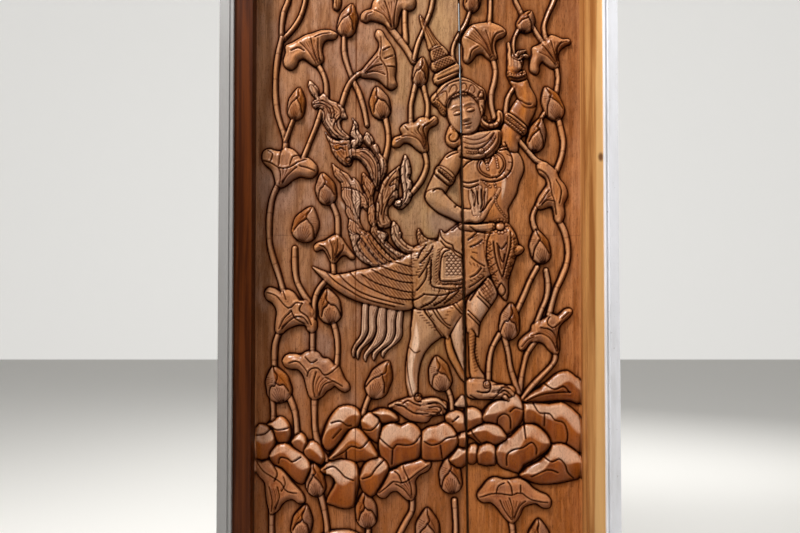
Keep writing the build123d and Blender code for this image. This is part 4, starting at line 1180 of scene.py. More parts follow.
def cut_bud(on_bud, arch_u, arch_v, hand):
    """The front petal's arch, the seams behind it, its fan of ridges, and ticks on the back petals."""
    groove(on_bud(arch_u, arch_v), "petal edge", step=-2.0 * hand)
    seam = on_bud((arch_u[4], 0.42, 0.7, 0.98), (arch_v[4], 0.16, 0.02, 0.0))
    groove(seam, "petal seam", step=1.6)
    groove(on_bud((-0.2, 0.1, 0.4, 0.66), (0.7, 0.52, 0.3, 0.12)), "back petal")
    for fan in np.linspace(-0.55, 0.45, 7):
        groove(on_bud((-0.95, -0.1 - 0.6 * abs(fan)), (0.4 * fan, fan)), "petal ridge")
    for row in np.linspace(-0.05, 0.5, 6):
        groove(on_bud((row, row - 0.12), (-0.7, -0.25)), "petal tick")
        groove(on_bud((row - 0.1, row), (0.3, 0.62)), "petal tick")


for tip_text, foot_text, width in BUDS:
    carve_bud(tip_text, foot_text, width)
print("buds", len(BUDS))

# %% [markdown]
# ## Lotus leaves and rocks
# A lotus leaf curls like a wet cloth: its edge stands up, the middle is hollow, and the veins run from the
# stem to the rim. A rock has one flat top, painted pale as a highlight, and rounded sides under a wavy
# crack, painted darker towards the foot as shade.

# %% Leaves


def evenly(line, count=14):
    """The same line with evenly spaced points."""
    reach = np.concatenate([[0], np.cumsum(np.hypot(*np.diff(line, axis=0).T))])
    steps = np.linspace(0, reach[-1], count)
    return np.stack([np.interp(steps, reach, line[:, axis]) for axis in (0, 1)], 1)


def carve_leaf(outline, veins):
    """Between two veins that start together lie three finer ones."""
    raise_shape(outline, foot=2, crown=15, rounding=5.5, golden=chance.uniform(0.45, 0.9), worn=0.12,
                hollow=3.0)
    runs = [evenly(curved(spots(vein))) for vein in veins]
    for i, vein in enumerate(runs):
        groove(vein, "vein", step=(2.6 if i % 2 else -2.0))
    for first, second in zip(runs, runs[1:]):
        if np.hypot(*(first[0] - second[0])) < 6:
            for share in (0.25, 0.5, 0.75):
                groove((first * (1 - share) + second * share)[1:-1], "fine vein")


for outline, veins in LEAVES:
    carve_leaf(outline, veins)
print("leaves", len(LEAVES))

# %% Rocks
rock_rounding = 3.2
rock_foot = 1.5


def carve_rock(outline, cracks):
    line = curved(spots(outline), closed=True, steps=2)
    part, x, y, away, inside = shape_on_grid(line)
    top = np.where(inside.any(0), np.where(inside, y, 1e9).min(0), 0)
    foot = np.where(inside.any(0), np.where(inside, y, -1e9).max(0), 1)
    drop = np.clip((y - top) / (foot - top + 0.1), 0, 1)
    tilt = 0.40 + 0.09 * np.sin(x / 5 + line[0, 1])
    lean = 0.10 * np.sin(x / 9 + line[0, 0])
    slope = np.where(drop < tilt, 0.25 + 0.75 * drop / tilt, 1 - 0.85 * (drop - tilt) / (1 - tilt)) + lean
    rounded = half_round(1 - np.clip(away / rock_rounding, 0, 1))
    lay(part, inside, away, rock_foot + (3 + 14.5 * slope) * rounded, golden=1.0, worn=0.0)
    # Painted shade: the lower part of each rock is made darker.
    darken(part, 0.35 * np.clip(drop * 1.6 - 0.8, 0, 1) * inside)
    # Painted highlight: the upper face of each rock, the one that faces the sky, is painted pale and a
    # little less golden.
    sky = np.clip((tilt - drop) * 9 + 0.3, 0, 1) * np.clip((away - 1.2) / 1.5, 0, 1)
    pale[part] = np.where(inside, 0.6 * sky, pale[part])
    gold[part] = np.where(inside, 1.0 - 0.3 * sky, gold[part])
    for crack in cracks:
        groove(curved(spots(crack)), "rock crack", step=1.6)


for outline, cracks in BOULDERS:
    carve_rock(outline, cracks)
print("rocks", len(BOULDERS))

# %% [markdown]
# ## The kinnari
# Her tail flames and the wing come first, because the body lies over them. Every flame is fluted
# along its outline and nicked at its edge, some more golden and some more bleached than others. Then
# legs, body, arms and the ornaments go on in the order in which they overlap.

# %% Tail flames
flame_foot = 2


def flute(part, away, inside, pitch, paleness):
    """Cuts at even steps inside an outline, and a bleached strip along it."""
    cut = (0.5 + 0.5 * np.cos(2 * math.pi * away / pitch)) ** 3 * (away > pitch / 2) * inside
    height[part] -= 1.1 * cut
    darken(part, 0.6 * cut)
    pale[part] = np.where(inside & (away < pitch * 1.1), np.maximum(pale[part], paleness), pale[part])


def serrate(text):
    """Short cuts running in from an outline."""
    line = evenly(curved(spots(text), closed=True), 61)
    ahead = np.gradient(line, axis=0)
    ahead /= np.hypot(*ahead.T)[:, None] + 1e-6
    turning = np.sign(np.sum(line[:-1, 0] * line[1:, 1] - line[1:, 0] * line[:-1, 1]))
    for i in range(2, 60, 4):
        inward = turning * np.array([-ahead[i, 1], ahead[i, 0]]) + ahead[i]
        groove(np.array([line[i], line[i] + 2.2 * inward]), "flame nick")


for crown, rounding, worn, text in TAIL:
    flame = raise_shape(text, flame_foot, crown, rounding, chance.uniform(0.1, 1.0), worn)
    flute(*flame, chance.uniform(2.1, 2.7), chance.choice((0.1, 0.25, 0.6)))
    serrate(text)
grooves(TAIL_CUTS, "flame cut", step=2.4)
print("flames", len(TAIL))

# %% Wing and hanging feathers


def hatch(text, degrees, pitch, depth, dark):
    """Fine parallel cuts over a closed shape."""
    line = spots(text)
    part, x, y = window(line, 1)
    angle = math.radians(degrees)
    wave = 0.5 + 0.5 * np.cos(2 * math.pi * (x * math.cos(angle) + y * math.sin(angle)) / pitch)
    cut = wave ** 2 * within(x, y, line)
    height[part] -= depth * cut
    darken(part, dark * cut)


for text in TAIL_FEATHERS:
    feather = raise_shape(text, foot=1.5, crown=9, rounding=2.6, golden=0.35, worn=0.75)
    flute(*feather, pitch=1.9, paleness=0.6)
raise_shape(WING, foot=4, crown=13, rounding=4, golden=0.55, worn=0.1)
hatch("384,268 418,262 417,300 398,303 372,288 360,276", degrees=-40, pitch=2.4, depth=0.9, dark=0.6)
grooves(WING_CUTS, "wing feather", step=-3.0)
print("hanging feathers", len(TAIL_FEATHERS))

# %% Body, limbs, fingers and toes
figure_foot = 3


def carve_finger(text, wide, crown, golden, worn):
    """A finger or toe: round across, and tapered to its far end."""
    line = curved(spots(text))
    part, x, y = window(line, wide + 4)
    away, _, along = distance(x, y, line)
    girth = wide * (1 - 0.35 * (along / along.max()) ** 2)
    base = np.maximum(2, np.minimum(height[part] - 1, crown - 3))
    edge = 1.7 * np.abs(away - girth) + 3 * np.clip(1 - along / 5, 0, 1)
    lay(part, away < girth, edge, base + (crown - base) * half_round(away / girth), golden, worn)


raise_shape("454,405 457,399 462,394 465,399 466,406", foot=1, crown=8, rounding=3, golden=0.4, worn=0.9)
for crown, rounding, golden, worn, text in FIGURE:
    raise_shape(text, figure_foot, crown, rounding, golden, worn)
for finger in FINGERS:
    carve_finger(*finger)
grooves(FIGURE_CUTS, "deep cut", step=1.6)
grooves(FINE_CUTS, "fine cut")
print("shapes", len(FIGURE), "fingers and toes", len(FINGERS))

# %% Painted highlights and bloomed patches


def patch_towards(field, text, amount, soft):
    """Bring a patch of one of the grids towards an amount, with a soft edge."""
    part, _, _, away, inside = shape_on_grid(curved(spots(text), closed=True), 1)
    field[part] += (amount - field[part]) * np.clip(away / soft, 0, 1) * inside


for text, amount in PAINTED_HIGHLIGHT_PATCHES:
    patch_towards(pale, text, amount, soft=1.5)
for text, amount in BLOOM_PATCHES:
    patch_towards(bloom, text, amount, soft=9)
print("patches", len(PAINTED_HIGHLIGHT_PATCHES) + len(BLOOM_PATCHES))

# %% Cords, beads and buttons
# column, row, radius in squares, and height in millimetres
BUTTONS = [(500, 226, 4.2, 4.0), (481, 151, 2.8, 3.0), (485, 117, 2.3, 2.4), (481, 95, 2.3, 2.0),
           (504, 396, 2.8, 3.0), (490, 120, 1.5, 1.5)]


def ball(column, row, radius, tall):
    part, x, y = window(np.array([[column, row]]), radius + 1)
    away = np.hypot(x - column, y - row) / radius
    height[part] += tall * half_round(away) - 0.8 * bell(away - 1.15, 0.3)
    stain_and_shade[part] *= away > 1
    darken(part, 0.75 * bell(away - 1.15, 0.25))


def beads(line, radius, pitch, tall):
    """A row of balls, a pitch apart along the line."""
    steps = np.hypot(*np.diff(line, axis=0).T)
    reach = np.concatenate([[0], np.cumsum(steps)])
    for run in np.arange(pitch / 2, reach[-1], pitch):
        ball(np.interp(run, reach, line[:, 0]), np.interp(run, reach, line[:, 1]), radius, tall)


def ring(column, row, radius, turn=2 * math.pi):
    angles = np.linspace(0, turn, 25)
    return np.stack([column + radius * np.cos(angles), row + radius * np.sin(angles)], 1)


grooves(CORDS, "cord")
for line in BEADS.split("\n"):
    beads(curved(spots(line)), radius=1.2, pitch=2.6, tall=2.2)
for button in BUTTONS:
    ball(*button)
beads(ring(500, 226, 6.6), radius=1.5, pitch=3.4, tall=1.5)
print("buttons", len(BUTTONS))

# %% [markdown]
# Scales cover the breast of the bird, small hatching the crown, and little curls the border of the
# hip cloth. These repeat, so a formula cuts them.

# %% Scales and barbs


def scales(text, size):
    """Rows of round scales, each row shifted by half a scale."""
    line = spots(text)
    part, x, y = window(line, 1)
    inside = within(x, y, line)
    row = y / (0.62 * size)
    u = (x / size + np.floor(row) % 2 / 2) % 1 - 0.5
    reach = np.hypot(u, row % 1 * 0.62)
    cut = bell(reach - 0.5, 0.09) * inside
    height[part] += 1.4 * np.clip(1 - 2 * reach, 0, 1) * inside - 1.3 * cut
    darken(part, 0.85 * cut)
    pale[part] = np.where(inside, 0.5, pale[part])


def barbs(text, reach, pitch=3.0):
    """Short slanting ticks on one side of a line, like the barbs of a feather."""
    line = evenly(curved(spots(text)), 60)
    ahead = np.gradient(line, axis=0)
    ahead /= np.hypot(*ahead.T)[:, None]
    length = np.hypot(*np.diff(line, axis=0).T).sum()
    for i in np.linspace(1, 58, max(2, int(length / pitch))).astype(int):
        away = np.array([-ahead[i, 1], ahead[i, 0]])
        tip = line[i] + reach * away + abs(reach) * 0.8 * ahead[i]
        groove(np.array([line[i], tip]), "barb")


scales("452,252 447,254 445,260 445,276 461,275 461,260 456,256", size=4.4)
for text, reach in BARBS:
    barbs(text, reach)
print("rows of barbs", len(BARBS))

# %% Hatched cloth and crown, border curls and scrolls
# outline, directions in degrees, pitch in squares, depth in millimetres, and stain
HATCHED = [
    ("433,62 449,55 454,60 436,70", (20, 110), 2.4, 1.2, 0.75),
    ("432,50 441,46 447,53 434,60", (20, 110), 2.4, 1.2, 0.75),
    ("434,260 441,250 440,281 461,281 460,286 434,284", (45,), 2.0, 0.6, 0.45),
    ("466,150 478,150 490,143 496,134 497,138 488,151 472,156", (45,), 2.0, 0.6, 0.45),
    ("469,332 475,334 477,350 480,366 474,372 470,350", (70,), 3.0, 0.9, 0.5),
    ("478,286 487,279 495,293 488,304", (-35, 55), 3.4, 0.9, 0.5),
]
BORDERS = [("488,243 488,252 489,262 492,272 496,281", -4.6),
           ("513,237 515,247 513,257 510,267 507,277", 4.6)]
SCROLLS = [(418, 396, 3.4), (486, 383, 3.2), (398, 203, 3.4), (348, 160, 2.6)]

for text, angles, pitch, depth, dark in HATCHED:
    for degrees in angles:
        hatch(text, degrees, pitch, depth, dark)
for text, turn in BORDERS:
    for column, row in curved(spots(text))[::2]:
        groove(ring(column, row, 1.6, turn), "border curl")
for column, row, radius in SCROLLS:
    ball(column, row, radius, tall=2.2)
    groove(ring(column, row, radius * 0.5, 5.0), "scroll")
print("hatched", len(HATCHED), "borders", len(BORDERS), "scrolls", len(SCROLLS))

# %% [markdown]
# ## The face
# The face is a calm mask with closed eyes, made of soft bells and arcs. The nose ends two thirds of
# the way from the hairline to the chin, the lips lie a third of the way from there to the chin, and
# the eyes' middles are two fifths of the face's width apart. The lids are longer and the brows higher
# than in a drawing book. All of it is built in an upright grid, where u runs across and v down from
# -1 to 1, and leans with the head.

# %% Face
face_column, face_row, face_lean = 464.5, 113.0, math.radians(-14)
half_face_width, half_face_height = 16.5, 21.0
eye_out = 0.40
# brow, fold of the lid and closed lid, each with its place down the face, bend, reach, depth and width
BROW_AND_LIDS = ((-0.43, 0.7, 0.36, -1.8, 0.045), (-0.21, 1.1, 0.27, 1.0, 0.025),
                 (0.02, -0.75, 0.27, 2.0, 0.03))


def face_relief(u, v):
    """How far the features stand out, and how dark their lines are."""
    def soft(cu, cv, wide, tall):
        return bell(u - cu, wide) * bell(v - cv, tall)

    bridge = 0.11 + 0.09 * np.clip((v + 0.3) / 0.6, 0, 1)
    ridge = bell(u, bridge) * np.clip((v + 0.5) / 0.8, 0, 1)
    tall = 5.6 * ridge * np.clip((0.37 - v) / 0.06, 0, 1)
    dark = 0.55 * soft(0, 0.41, 0.17, 0.03)
    for hand in (-1, 1):
        beside = np.abs(u * hand - eye_out)
        tall += 1.3 * soft(hand * 0.17, 0.29, 0.09, 0.07) + 1.2 * soft(hand * 0.5, 0.28, 0.26, 0.26)
        eye = hand * eye_out
        tall += 3.2 * soft(eye, -0.07, 0.24, 0.12) - 2.0 * soft(eye, -0.25, 0.28, 0.10)
        for level, bend, reach, deep, wide in BROW_AND_LIDS:
            line = bell(v - level - bend * beside ** 2, wide) * (beside < reach)
            tall -= deep * line
            dark = np.maximum(dark, 0.45 * deep * line)
    tall += 2.4 * soft(0, 0.51, 0.22, 0.05) + 2.8 * soft(0, 0.63, 0.17, 0.06)
    tall += 1.8 * soft(0, 0.88, 0.24, 0.12) - 1.2 * soft(0, 0.74, 0.2, 0.04)
    mouth = bell(v - 0.565 + 0.5 * u ** 2, 0.025) * (np.abs(u) < 0.3)
    return tall - 1.6 * mouth, np.maximum(dark, 0.9 * mouth)


def carve_face():
    part, x, y = window(np.array([[face_column, face_row]]), 24)
    right = (x - face_column) * math.cos(face_lean) + (y - face_row) * math.sin(face_lean)
    down = -(x - face_column) * math.sin(face_lean) + (y - face_row) * math.cos(face_lean)
    u, v = right / half_face_width, down / half_face_height
    inside = (u ** 2 + v ** 2 < 1) & (v > -0.86)
    dome = np.sqrt(np.clip(1 - (u * 0.98) ** 2 - (v * 0.95) ** 2, 0, 1))
    tall, dark = face_relief(u, v)
    rim = 0.6 * np.clip((u ** 2 + v ** 2 - 0.88) / 0.12, 0, 1)
    height[part] = np.where(inside, 4 + 12 * dome + 1.35 * tall, height[part])
    stain_and_shade[part] = np.where(inside, np.maximum(dark, rim), stain_and_shade[part])
    gold[part] = np.where(inside, 0.6, gold[part])
    pale[part] = np.where(inside, 0.22, pale[part])
    print("face", int(inside.sum()), "spots")


carve_face()

# %% [markdown]
# ## Ground and age
# Between the motifs the ground still shows the strokes of the gouge and the grain that the years have
# raised. Shade is painted in with the stain, where a spot lies lower than its surroundings, beside raised
# motifs and on slopes that face down. Hands wear what stands up, and a highlight is painted on slopes that
# face up and to the left. All of this is worked out from the finished heights, so it fits every cut.

# %% Gouge strokes and raised grain
joint_1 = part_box("plank_left")[1].x
deepest = -3.5


def cloud(across, down, seed):
    """Smooth random waves, one every so many squares across and down."""
    dice = np.random.default_rng(seed)
    coarse = dice.uniform(-1, 1, (int(np.ptp(rows) / down) + 4, int(np.ptp(columns) / across) + 4))
    x = (columns - columns[0]) / across + 1
    y = (rows - rows[0]) / down + 1
    i, j = y.astype(int), x.astype(int)
    fy, fx = (y - i)[:, None], (x - j)[None, :]
    fy, fx = fy * fy * (3 - 2 * fy), fx * fx * (3 - 2 * fx)
    a, b = coarse[np.ix_(i, j)], coarse[np.ix_(i, j + 1)]
    c, d = coarse[np.ix_(i + 1, j)], coarse[np.ix_(i + 1, j + 1)]
    return (a * (1 - fx) + b * fx) * (1 - fy) + (c * (1 - fx) + d * fx) * fy


def blur(field, reach):
    """An even blur, over so many squares each way, done twice to make it smooth."""
    size = max(1, int(reach * samples))
    for axis in (0, 1):
        for _ in range(2):
            padded = np.concatenate([np.repeat(field.take([0], axis), size, axis), field,
                                     np.repeat(field.take([-1], axis), size + 1, axis)], axis)
            total = np.cumsum(padded, axis=axis)
            place = np.arange(field.shape[axis])
            field = (total.take(place + 2 * size, axis) - total.take(place, axis)) / (2 * size)
    return field


glued_seam = bell(columns - column_at(joint_1), 0.5)[None, :]
stain_and_shade = np.maximum(stain_and_shade, 0.5 * glued_seam)
height -= 0.8 * glued_seam
bare = np.clip(1 - blur(np.clip(height, 0, 4) / 4, 0.6), 0, 1)
gouge = 0.9 * cloud(7, 16, 1) + 0.8 * cloud(3.2, 8, 2) + 0.35 * cloud(1.5, 4, 11)
grain = 0.22 * cloud(0.8, 22, 3) + 0.18 * cloud(1.6, 40, 4)
height += gouge * bare + grain * (0.5 + 0.5 * bare)
height = np.maximum(height, deepest)
print("height from", round(height.min(), 1), "to", round(height.max(), 1), "mm")

# %% Stain and painted shade in the hollows, wear and painted highlight on the crests
# Painted shade: stain is added in the hollows, beside raised motifs and on slopes that face down.
hollowed = np.clip(blur(height, 1.2) - height - 0.2, 0, 5) * 0.34
hollowed += np.clip(blur(height, 3.5) - height - 1.0, 0, 8) * 0.07
crest = height - blur(height, 1.6)
upward, leftward = (slope * samples / (square / MM) for slope in np.gradient(blur(height, 0.5)))
facing = np.clip(0.8 * upward + 0.6 * leftward, -1, 1)
standing = np.clip(height, 0, 12)
beside = np.clip(blur(standing, 3.4) - standing, 0, 8) * 0.1
stain_and_shade = np.clip(stain_and_shade + hollowed + beside + 0.42 * np.clip(-facing, 0, 1), 0, 1)
# Wear on the crests, and a painted highlight on slopes that face up and to the left.
wear_and_highlight = np.clip(0.22 * crest + 0.9 * np.clip(facing, 0, 1) * (height > 2), 0, 1) * (1 - stain_and_shade)
print("stained_and_shaded", round(float(stain_and_shade.mean()), 2), "worn", round(float(wear_and_highlight.mean()), 2))

# %% [markdown]
# ## Planks
# Each plank is a fine mesh: a sheet of quads that follows the heights, with its rim folded back to
# the rear face. A mesh tool such as Displace would need an image, so the points are placed from the
# grid directly. A plank is made as an upper and a lower piece, which keeps each one light enough. A
# strip round the leaf was never carved, and the arrises along the open joint are chipped.

# %% The planks' edges
joint_2_top = 109 * MM
joint_2_foot = 140 * MM
half_gap = 2 * MM


def joint_2(z, side):
    """The edge of the open joint: it leans, and its two sides stand apart."""
    share = (z - leaf_low.z) / (leaf_high.z - leaf_low.z)
    return joint_2_foot + (joint_2_top - joint_2_foot) * share + side * half_gap


def plank_edges(name, z):
    left = {"left": leaf_low.x + 0 * z, "middle": joint_1 + 0 * z, "right": joint_2(z, 1)}
    right = {"left": joint_1 + 0 * z, "middle": joint_2(z, -1), "right": leaf_high.x + 0 * z}
    return left[name], right[name]


print("open joint at", [round(joint_2(z, 0) / MM) for z in (leaf_low.z, leaf_high.z)], "mm")

# %% Rows of the mesh
fine_step = 0.72 * square
coarse_step = 2.6 * square


def z_at(row):
    return leaf_middle + (middle_row - row) * square


seen_low, seen_high, split = z_at(536), z_at(-3), z_at(235)


def levels(low, high):
    """Heights of the mesh's rows: close together where the carving is fine."""
    made = [low]
    while made[-1] < high - 1e-6:
        step = fine_step if seen_low - coarse_step < made[-1] < seen_high else coarse_step
        made.append(made[-1] + step)
    made[-1] = high
    return np.array(made)


print("rows", len(levels(leaf_low.z, split)), "and", len(levels(split, leaf_high.z)))

# %% Heights on a plank
margin = 8 * MM
uncut = ground_y - leaf_low.y
torn_row = 300
ragged = cloud(2.2, 3.0, 9)


def sample(field, x, z):
    """The grid's value at places on the leaf, between its four nearest spots."""
    u = np.clip((column_at(x) - columns[0]) * samples, 0, len(columns) - 2.001)
    v = np.clip((row_at(z) - rows[0]) * samples, 0, len(rows) - 2.001)
    i, j = v.astype(int), u.astype(int)
    fv, fu = v - i, u - j
    return ((field[i, j] * (1 - fu) + field[i, j + 1] * fu) * (1 - fv)
            + (field[i + 1, j] * (1 - fu) + field[i + 1, j + 1] * fu) * fv)


def chips(name, x, z):
    """Where the arris of the open joint is chipped, and how deep. It is torn worst beside the hip."""
    to_joint = (x - joint_2(z, 1)) if name == "right" else (joint_2(z, -1) - x)
    torn = np.clip(1 - np.abs(row_at(z) - torn_row) / 80, 0, 1) ** 0.5 * (1 if name == "right" else 2)
    wide = (2.0 + 2.2 * torn * (0.7 + sample(ragged, x, z))) * MM
    chip = np.clip(1 - to_joint / wide, 0, 1)
    return chip, chip * (1.2 + 4 * torn + 1.6 * np.abs(sample(ragged, x, z)))


def plank_places(name, low, high):
    """A grid of places over the plank, from its left edge to its right one."""
    z = levels(low, high)
    left, right = plank_edges(name, z)
    count = int((right.max() - left.min()) / fine_step) + 1
    share = np.linspace(0, 1, count)
    return left[:, None] * (1 - share) + right[:, None] * share, np.repeat(z[:, None], count, 1)


print("uncut strip", round(uncut / MM), "mm high")

# %% A folded sheet of quads


def folded_sheet(name, front):
    """A mesh through a grid of points, with its rim folded back to the plank's rear face."""
    m, n = front.shape[:2]
    index = np.arange(m * n).reshape(m, n)
    quads = np.stack([index[:-1, :-1], index[:-1, 1:], index[1:, 1:], index[1:, :-1]], -1).reshape(-1, 4)
    rim = np.concatenate([index[0], index[1:, -1], index[-1, -2::-1], index[-2:0:-1, 0]])
    behind = front.reshape(-1, 3)[rim]
    behind[:, 1] = back_y
    fold = m * n + np.arange(len(rim))
    walls = np.stack([rim, fold, np.roll(fold, -1), np.roll(rim, -1)], -1)
    loops = np.concatenate([quads.ravel(), walls.ravel(), fold[::-1]])
    starts = np.arange(len(quads) + len(walls) + 1) * 4
    flat = np.arange(len(starts)) >= len(quads)
    mesh = bpy.data.meshes.new(name)
    mesh.vertices.add(m * n + len(rim))
    mesh.vertices.foreach_set("co", np.concatenate([front.ravel(), behind.ravel()]))
    mesh.loops.add(len(loops))
    mesh.loops.foreach_set("vertex_index", loops)
    mesh.polygons.add(len(starts))
    mesh.polygons.foreach_set("loop_start", starts)
    mesh.polygons.foreach_set("material_index", flat.astype(np.int32))
    mesh.polygons.foreach_set("use_smooth", ~flat)
    mesh.update(calc_edges=True)
    mesh.validate()
    print(name, 2 * len(quads) + 4 * len(rim), "triangles")
    return mesh


# %% One piece of a plank


def carve_plank(name, part, low, high):
    """A folded sheet over part of a plank. Its points carry the grids' numbers for the finish."""
    x, z = plank_places(name, low, high)
    rise = sample(height, x, z)
    inset = np.minimum.reduce([x - leaf_low.x, leaf_high.x - x, z - leaf_low.z, leaf_high.z - z])
    rise = np.where(inset < margin, uncut / MM, rise)
    chip, lost = chips(name, x, z) if name != "left" else (0 * x, 0 * x)
    mesh = folded_sheet(f"plank_{name}_{part}", np.stack([x, ground_y - (rise - lost) * MM, z], -1))
    finish = {"stain_and_shade": np.maximum(sample(stain_and_shade, x, z), 0.8 * np.sqrt(chip)), "gold": sample(gold, x, z),
              "pale": sample(pale, x, z), "wear_and_highlight": sample(wear_and_highlight, x, z), "bloom": sample(bloom, x, z)}
    for field_name, values in finish.items():
        on_points = np.full(len(mesh.vertices), 0.3 if field_name == "stain_and_shade" else 0.0, np.float32)
        on_points[:x.size] = values.ravel()
        mesh.attributes.new(field_name, "FLOAT", "POINT").data.foreach_set("value", on_points)
    plank = bpy.data.objects.new(mesh.name, mesh)
    bpy.context.scene.collection.objects.link(plank)
    mesh.materials.append(teak.material)
    mesh.materials.append(plank_back.material)
    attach(plank, "leaf")
    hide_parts(f"plank_{name}")


# %% [markdown]
# ## Old teak
# The wood is one species with three lives. In the open it has bleached to a pinkish brown, the handled tops
# are golden and glossy, and a dark stain has gathered in every cut. Shade is painted into the colour too,
# below and to the right of each motif, in the hollows and on slopes that face down, and highlights are
# painted pale on slopes that face up and to the left, on the tops of the rocks and on patches of the figure
# and the flames. The left planks are cooler and the right one, cut from another board, is more orange. The
# foot of the door is redder.

# %% Noises and places of the carved teak
teak = Finish("carved teak")
across_door = teak.axis("X")
up_door = teak.axis("Z")
fine_grain = teak.noise(60, stretch=(9, 9, 0.35), detail=5, rough=0.62)
streaks = teak.noise(38, stretch=(6, 6, 0.3), detail=3, rough=0.6, shift=(2, 5, 3))
broad_grain = teak.noise(11, stretch=(4, 4, 0.3), detail=4)
blotches = teak.noise(13, stretch=(1.5, 1, 0.7), detail=5, rough=0.6, shift=(4, 2, 6))
scratches = teak.noise(95, stretch=(5, 5, 0.7), detail=2, shift=(6, 3, 1))
patches = teak.noise(5, stretch=(1.6, 1, 0.7), detail=2, shift=(3, 1, 2))
specks = teak.noise(420, stretch=(1, 1, 0.5), detail=2, shift=(1, 4, 2))
right_board = (across_door - 0.118).band(-0.012, 0.012)
redder = 1 - up_door.band(0.55, 1.15)
olive = (1 - ((across_door - 0.035) * 5.5).math("ABSOLUTE").clip()) * (patches.band(0.3, 0.6) * 0.6 + 0.4)
faded = blotches.band(0.42, 0.66) * (1 - right_board * 0.65) * (up_door.band(0.5, 1.1) * 0.7 + 0.3)
# The ground of the right plank is darker towards its top.
darker_top_right = right_board * up_door.band(1.3, 1.6) * 0.5
# The grids' numbers: stain with painted shade, gold, paleness with painted highlights, wear with a painted
# highlight, and bloom.
stained_and_shaded, gilt, paleness = (teak.carved(name) for name in ("stain_and_shade", "gold", "pale"))
rubbed_and_highlit, bloomed = (teak.carved(name) for name in ("wear_and_highlight", "bloom"))
print("noises of the teak", len([node for node in teak.nodes if node.type == "TEX_NOISE"]))

# %% Colours of the carved teak


def over(wood, share, *colour):
    """A colour laid over the wood where the share is near 1."""
    return teak.mix(share, wood, paint(*colour))


ground = teak.mix(broad_grain.band(0.3, 0.7), paint(122, 78, 48), paint(162, 114, 80))
ground = over(ground, olive * 0.8 * up_door.band(0.9, 1.3), 188, 148, 112)
orange = teak.mix(broad_grain.band(0.3, 0.62), paint(148, 88, 44), paint(184, 120, 72))
ground = teak.mix(right_board, ground, orange)
ground = over(ground, redder * 0.5, 164, 86, 22)
ground = over(ground, faded * 0.6, 162, 122, 98)
ground = over(ground, darker_top_right, 104, 56, 24)
golden = teak.mix(broad_grain.band(0.3, 0.7), paint(118, 54, 4), paint(186, 104, 24))
golden = over(golden, redder * 0.5, 172, 78, 14)
skin = teak.mix(gilt.clip(), ground, golden)
skin = over(skin, olive * 0.5 * up_door.band(0.68, 0.86), 152, 116, 68)
# Pale where the wood has worn or bleached, and painted highlights where the pale grid holds them.
skin = over(skin, (paleness * (blotches.band(0.32, 0.56) * 0.7 + 0.4)).clip() * 0.8, 244, 206, 176)
# Wear on the crests, and a painted highlight on slopes that face up and to the left.
skin = over(skin, rubbed_and_highlit.clip() * 0.42, 246, 186, 128)
skin = over(skin, bloomed * patches.band(0.3, 0.55) * 0.6, 150, 118, 102)
skin = over(skin, patches.band(0.5, 0.7) * gilt * 0.3, 206, 158, 120)
skin = over(skin, fine_grain.band(0.5, 0.74) * 0.4, 60, 26, 6)
skin = over(skin, streaks.band(0.52, 0.68) * (1 - gilt * 0.7) * 0.3, 74, 34, 10)
skin = over(skin, scratches.band(0.62, 0.72) * (1 - gilt * 0.6) * 0.6, 62, 28, 10)
skin = over(skin, specks.band(0.56, 0.72) * 0.4, 52, 28, 14)
# The stain in the cuts and the painted shade, with a warm brown where they thin out.
skin = over(skin, (stained_and_shaded * 1.7).clip() * 0.6, 142, 66, 8)
skin = over(skin, (stained_and_shaded * (0.85 + patches * 0.5)).clip(), 26, 3, 0)
teak.set("Base Color", skin)
print("colours laid over one another", len([node for node in teak.nodes if node.type == "MIX"]))

# %% Gloss and relief of the carved teak
polish = gilt * 0.16 + paleness * 0.25 + rubbed_and_highlit * 0.9 + 0.03
relief = fine_grain * 0.6 + specks * 0.25 - streaks.band(0.52, 0.68) * 0.6 - scratches.band(0.6, 0.74)
teak.set("Specular IOR Level", 0.03)
teak.set("Roughness", (0.5 + fine_grain * 0.2).clip())
teak.set("Coat Weight", (polish * (1 - stained_and_shaded * 1.15).clip()).clip())
teak.set("Coat Roughness", 0.26)
teak.bump(relief, strength=0.7, depth=0.7 * MM)
print("carved teak nodes", len(teak.nodes))

# %% [markdown]
# The back of the leaf, the ledges, the rails and the jambs are bare planed teak: broad bands and
# fine fibres that run along the piece, which is up for a jamb and across for a rail or a ledge.

# %% Plain teak


def plain_teak(name, dark, light, rough, grain=0.4, along="Z"):
    """Bare planed wood, with its fibres along one axis."""
    made = Finish(name)
    wide_stretch = [0.14 if axis == along else 4 for axis in "XYZ"]
    fine_stretch = [0.3 if axis == along else 8 for axis in "XYZ"]
    bands = made.noise(14, stretch=wide_stretch, detail=4, twist=0.4)
    fibres = made.noise(70, stretch=fine_stretch, detail=4, rough=0.6)
    wood = made.mix(bands.band(0.35, 0.65), dark, light)
    wood = made.mix(fibres.band(0.5, 0.75) * grain, wood, tuple(0.4 * v for v in dark[:3]) + (1,))
    made.set("Specular IOR Level", 0.12)
    made.bump(fibres, strength=0.4, depth=0.5 * MM)
    made.set("Base Color", wood)
    made.set("Roughness", (fibres * 0.2 + (rough - 0.1)).clip())
    print("finish", name)
    return made, wood


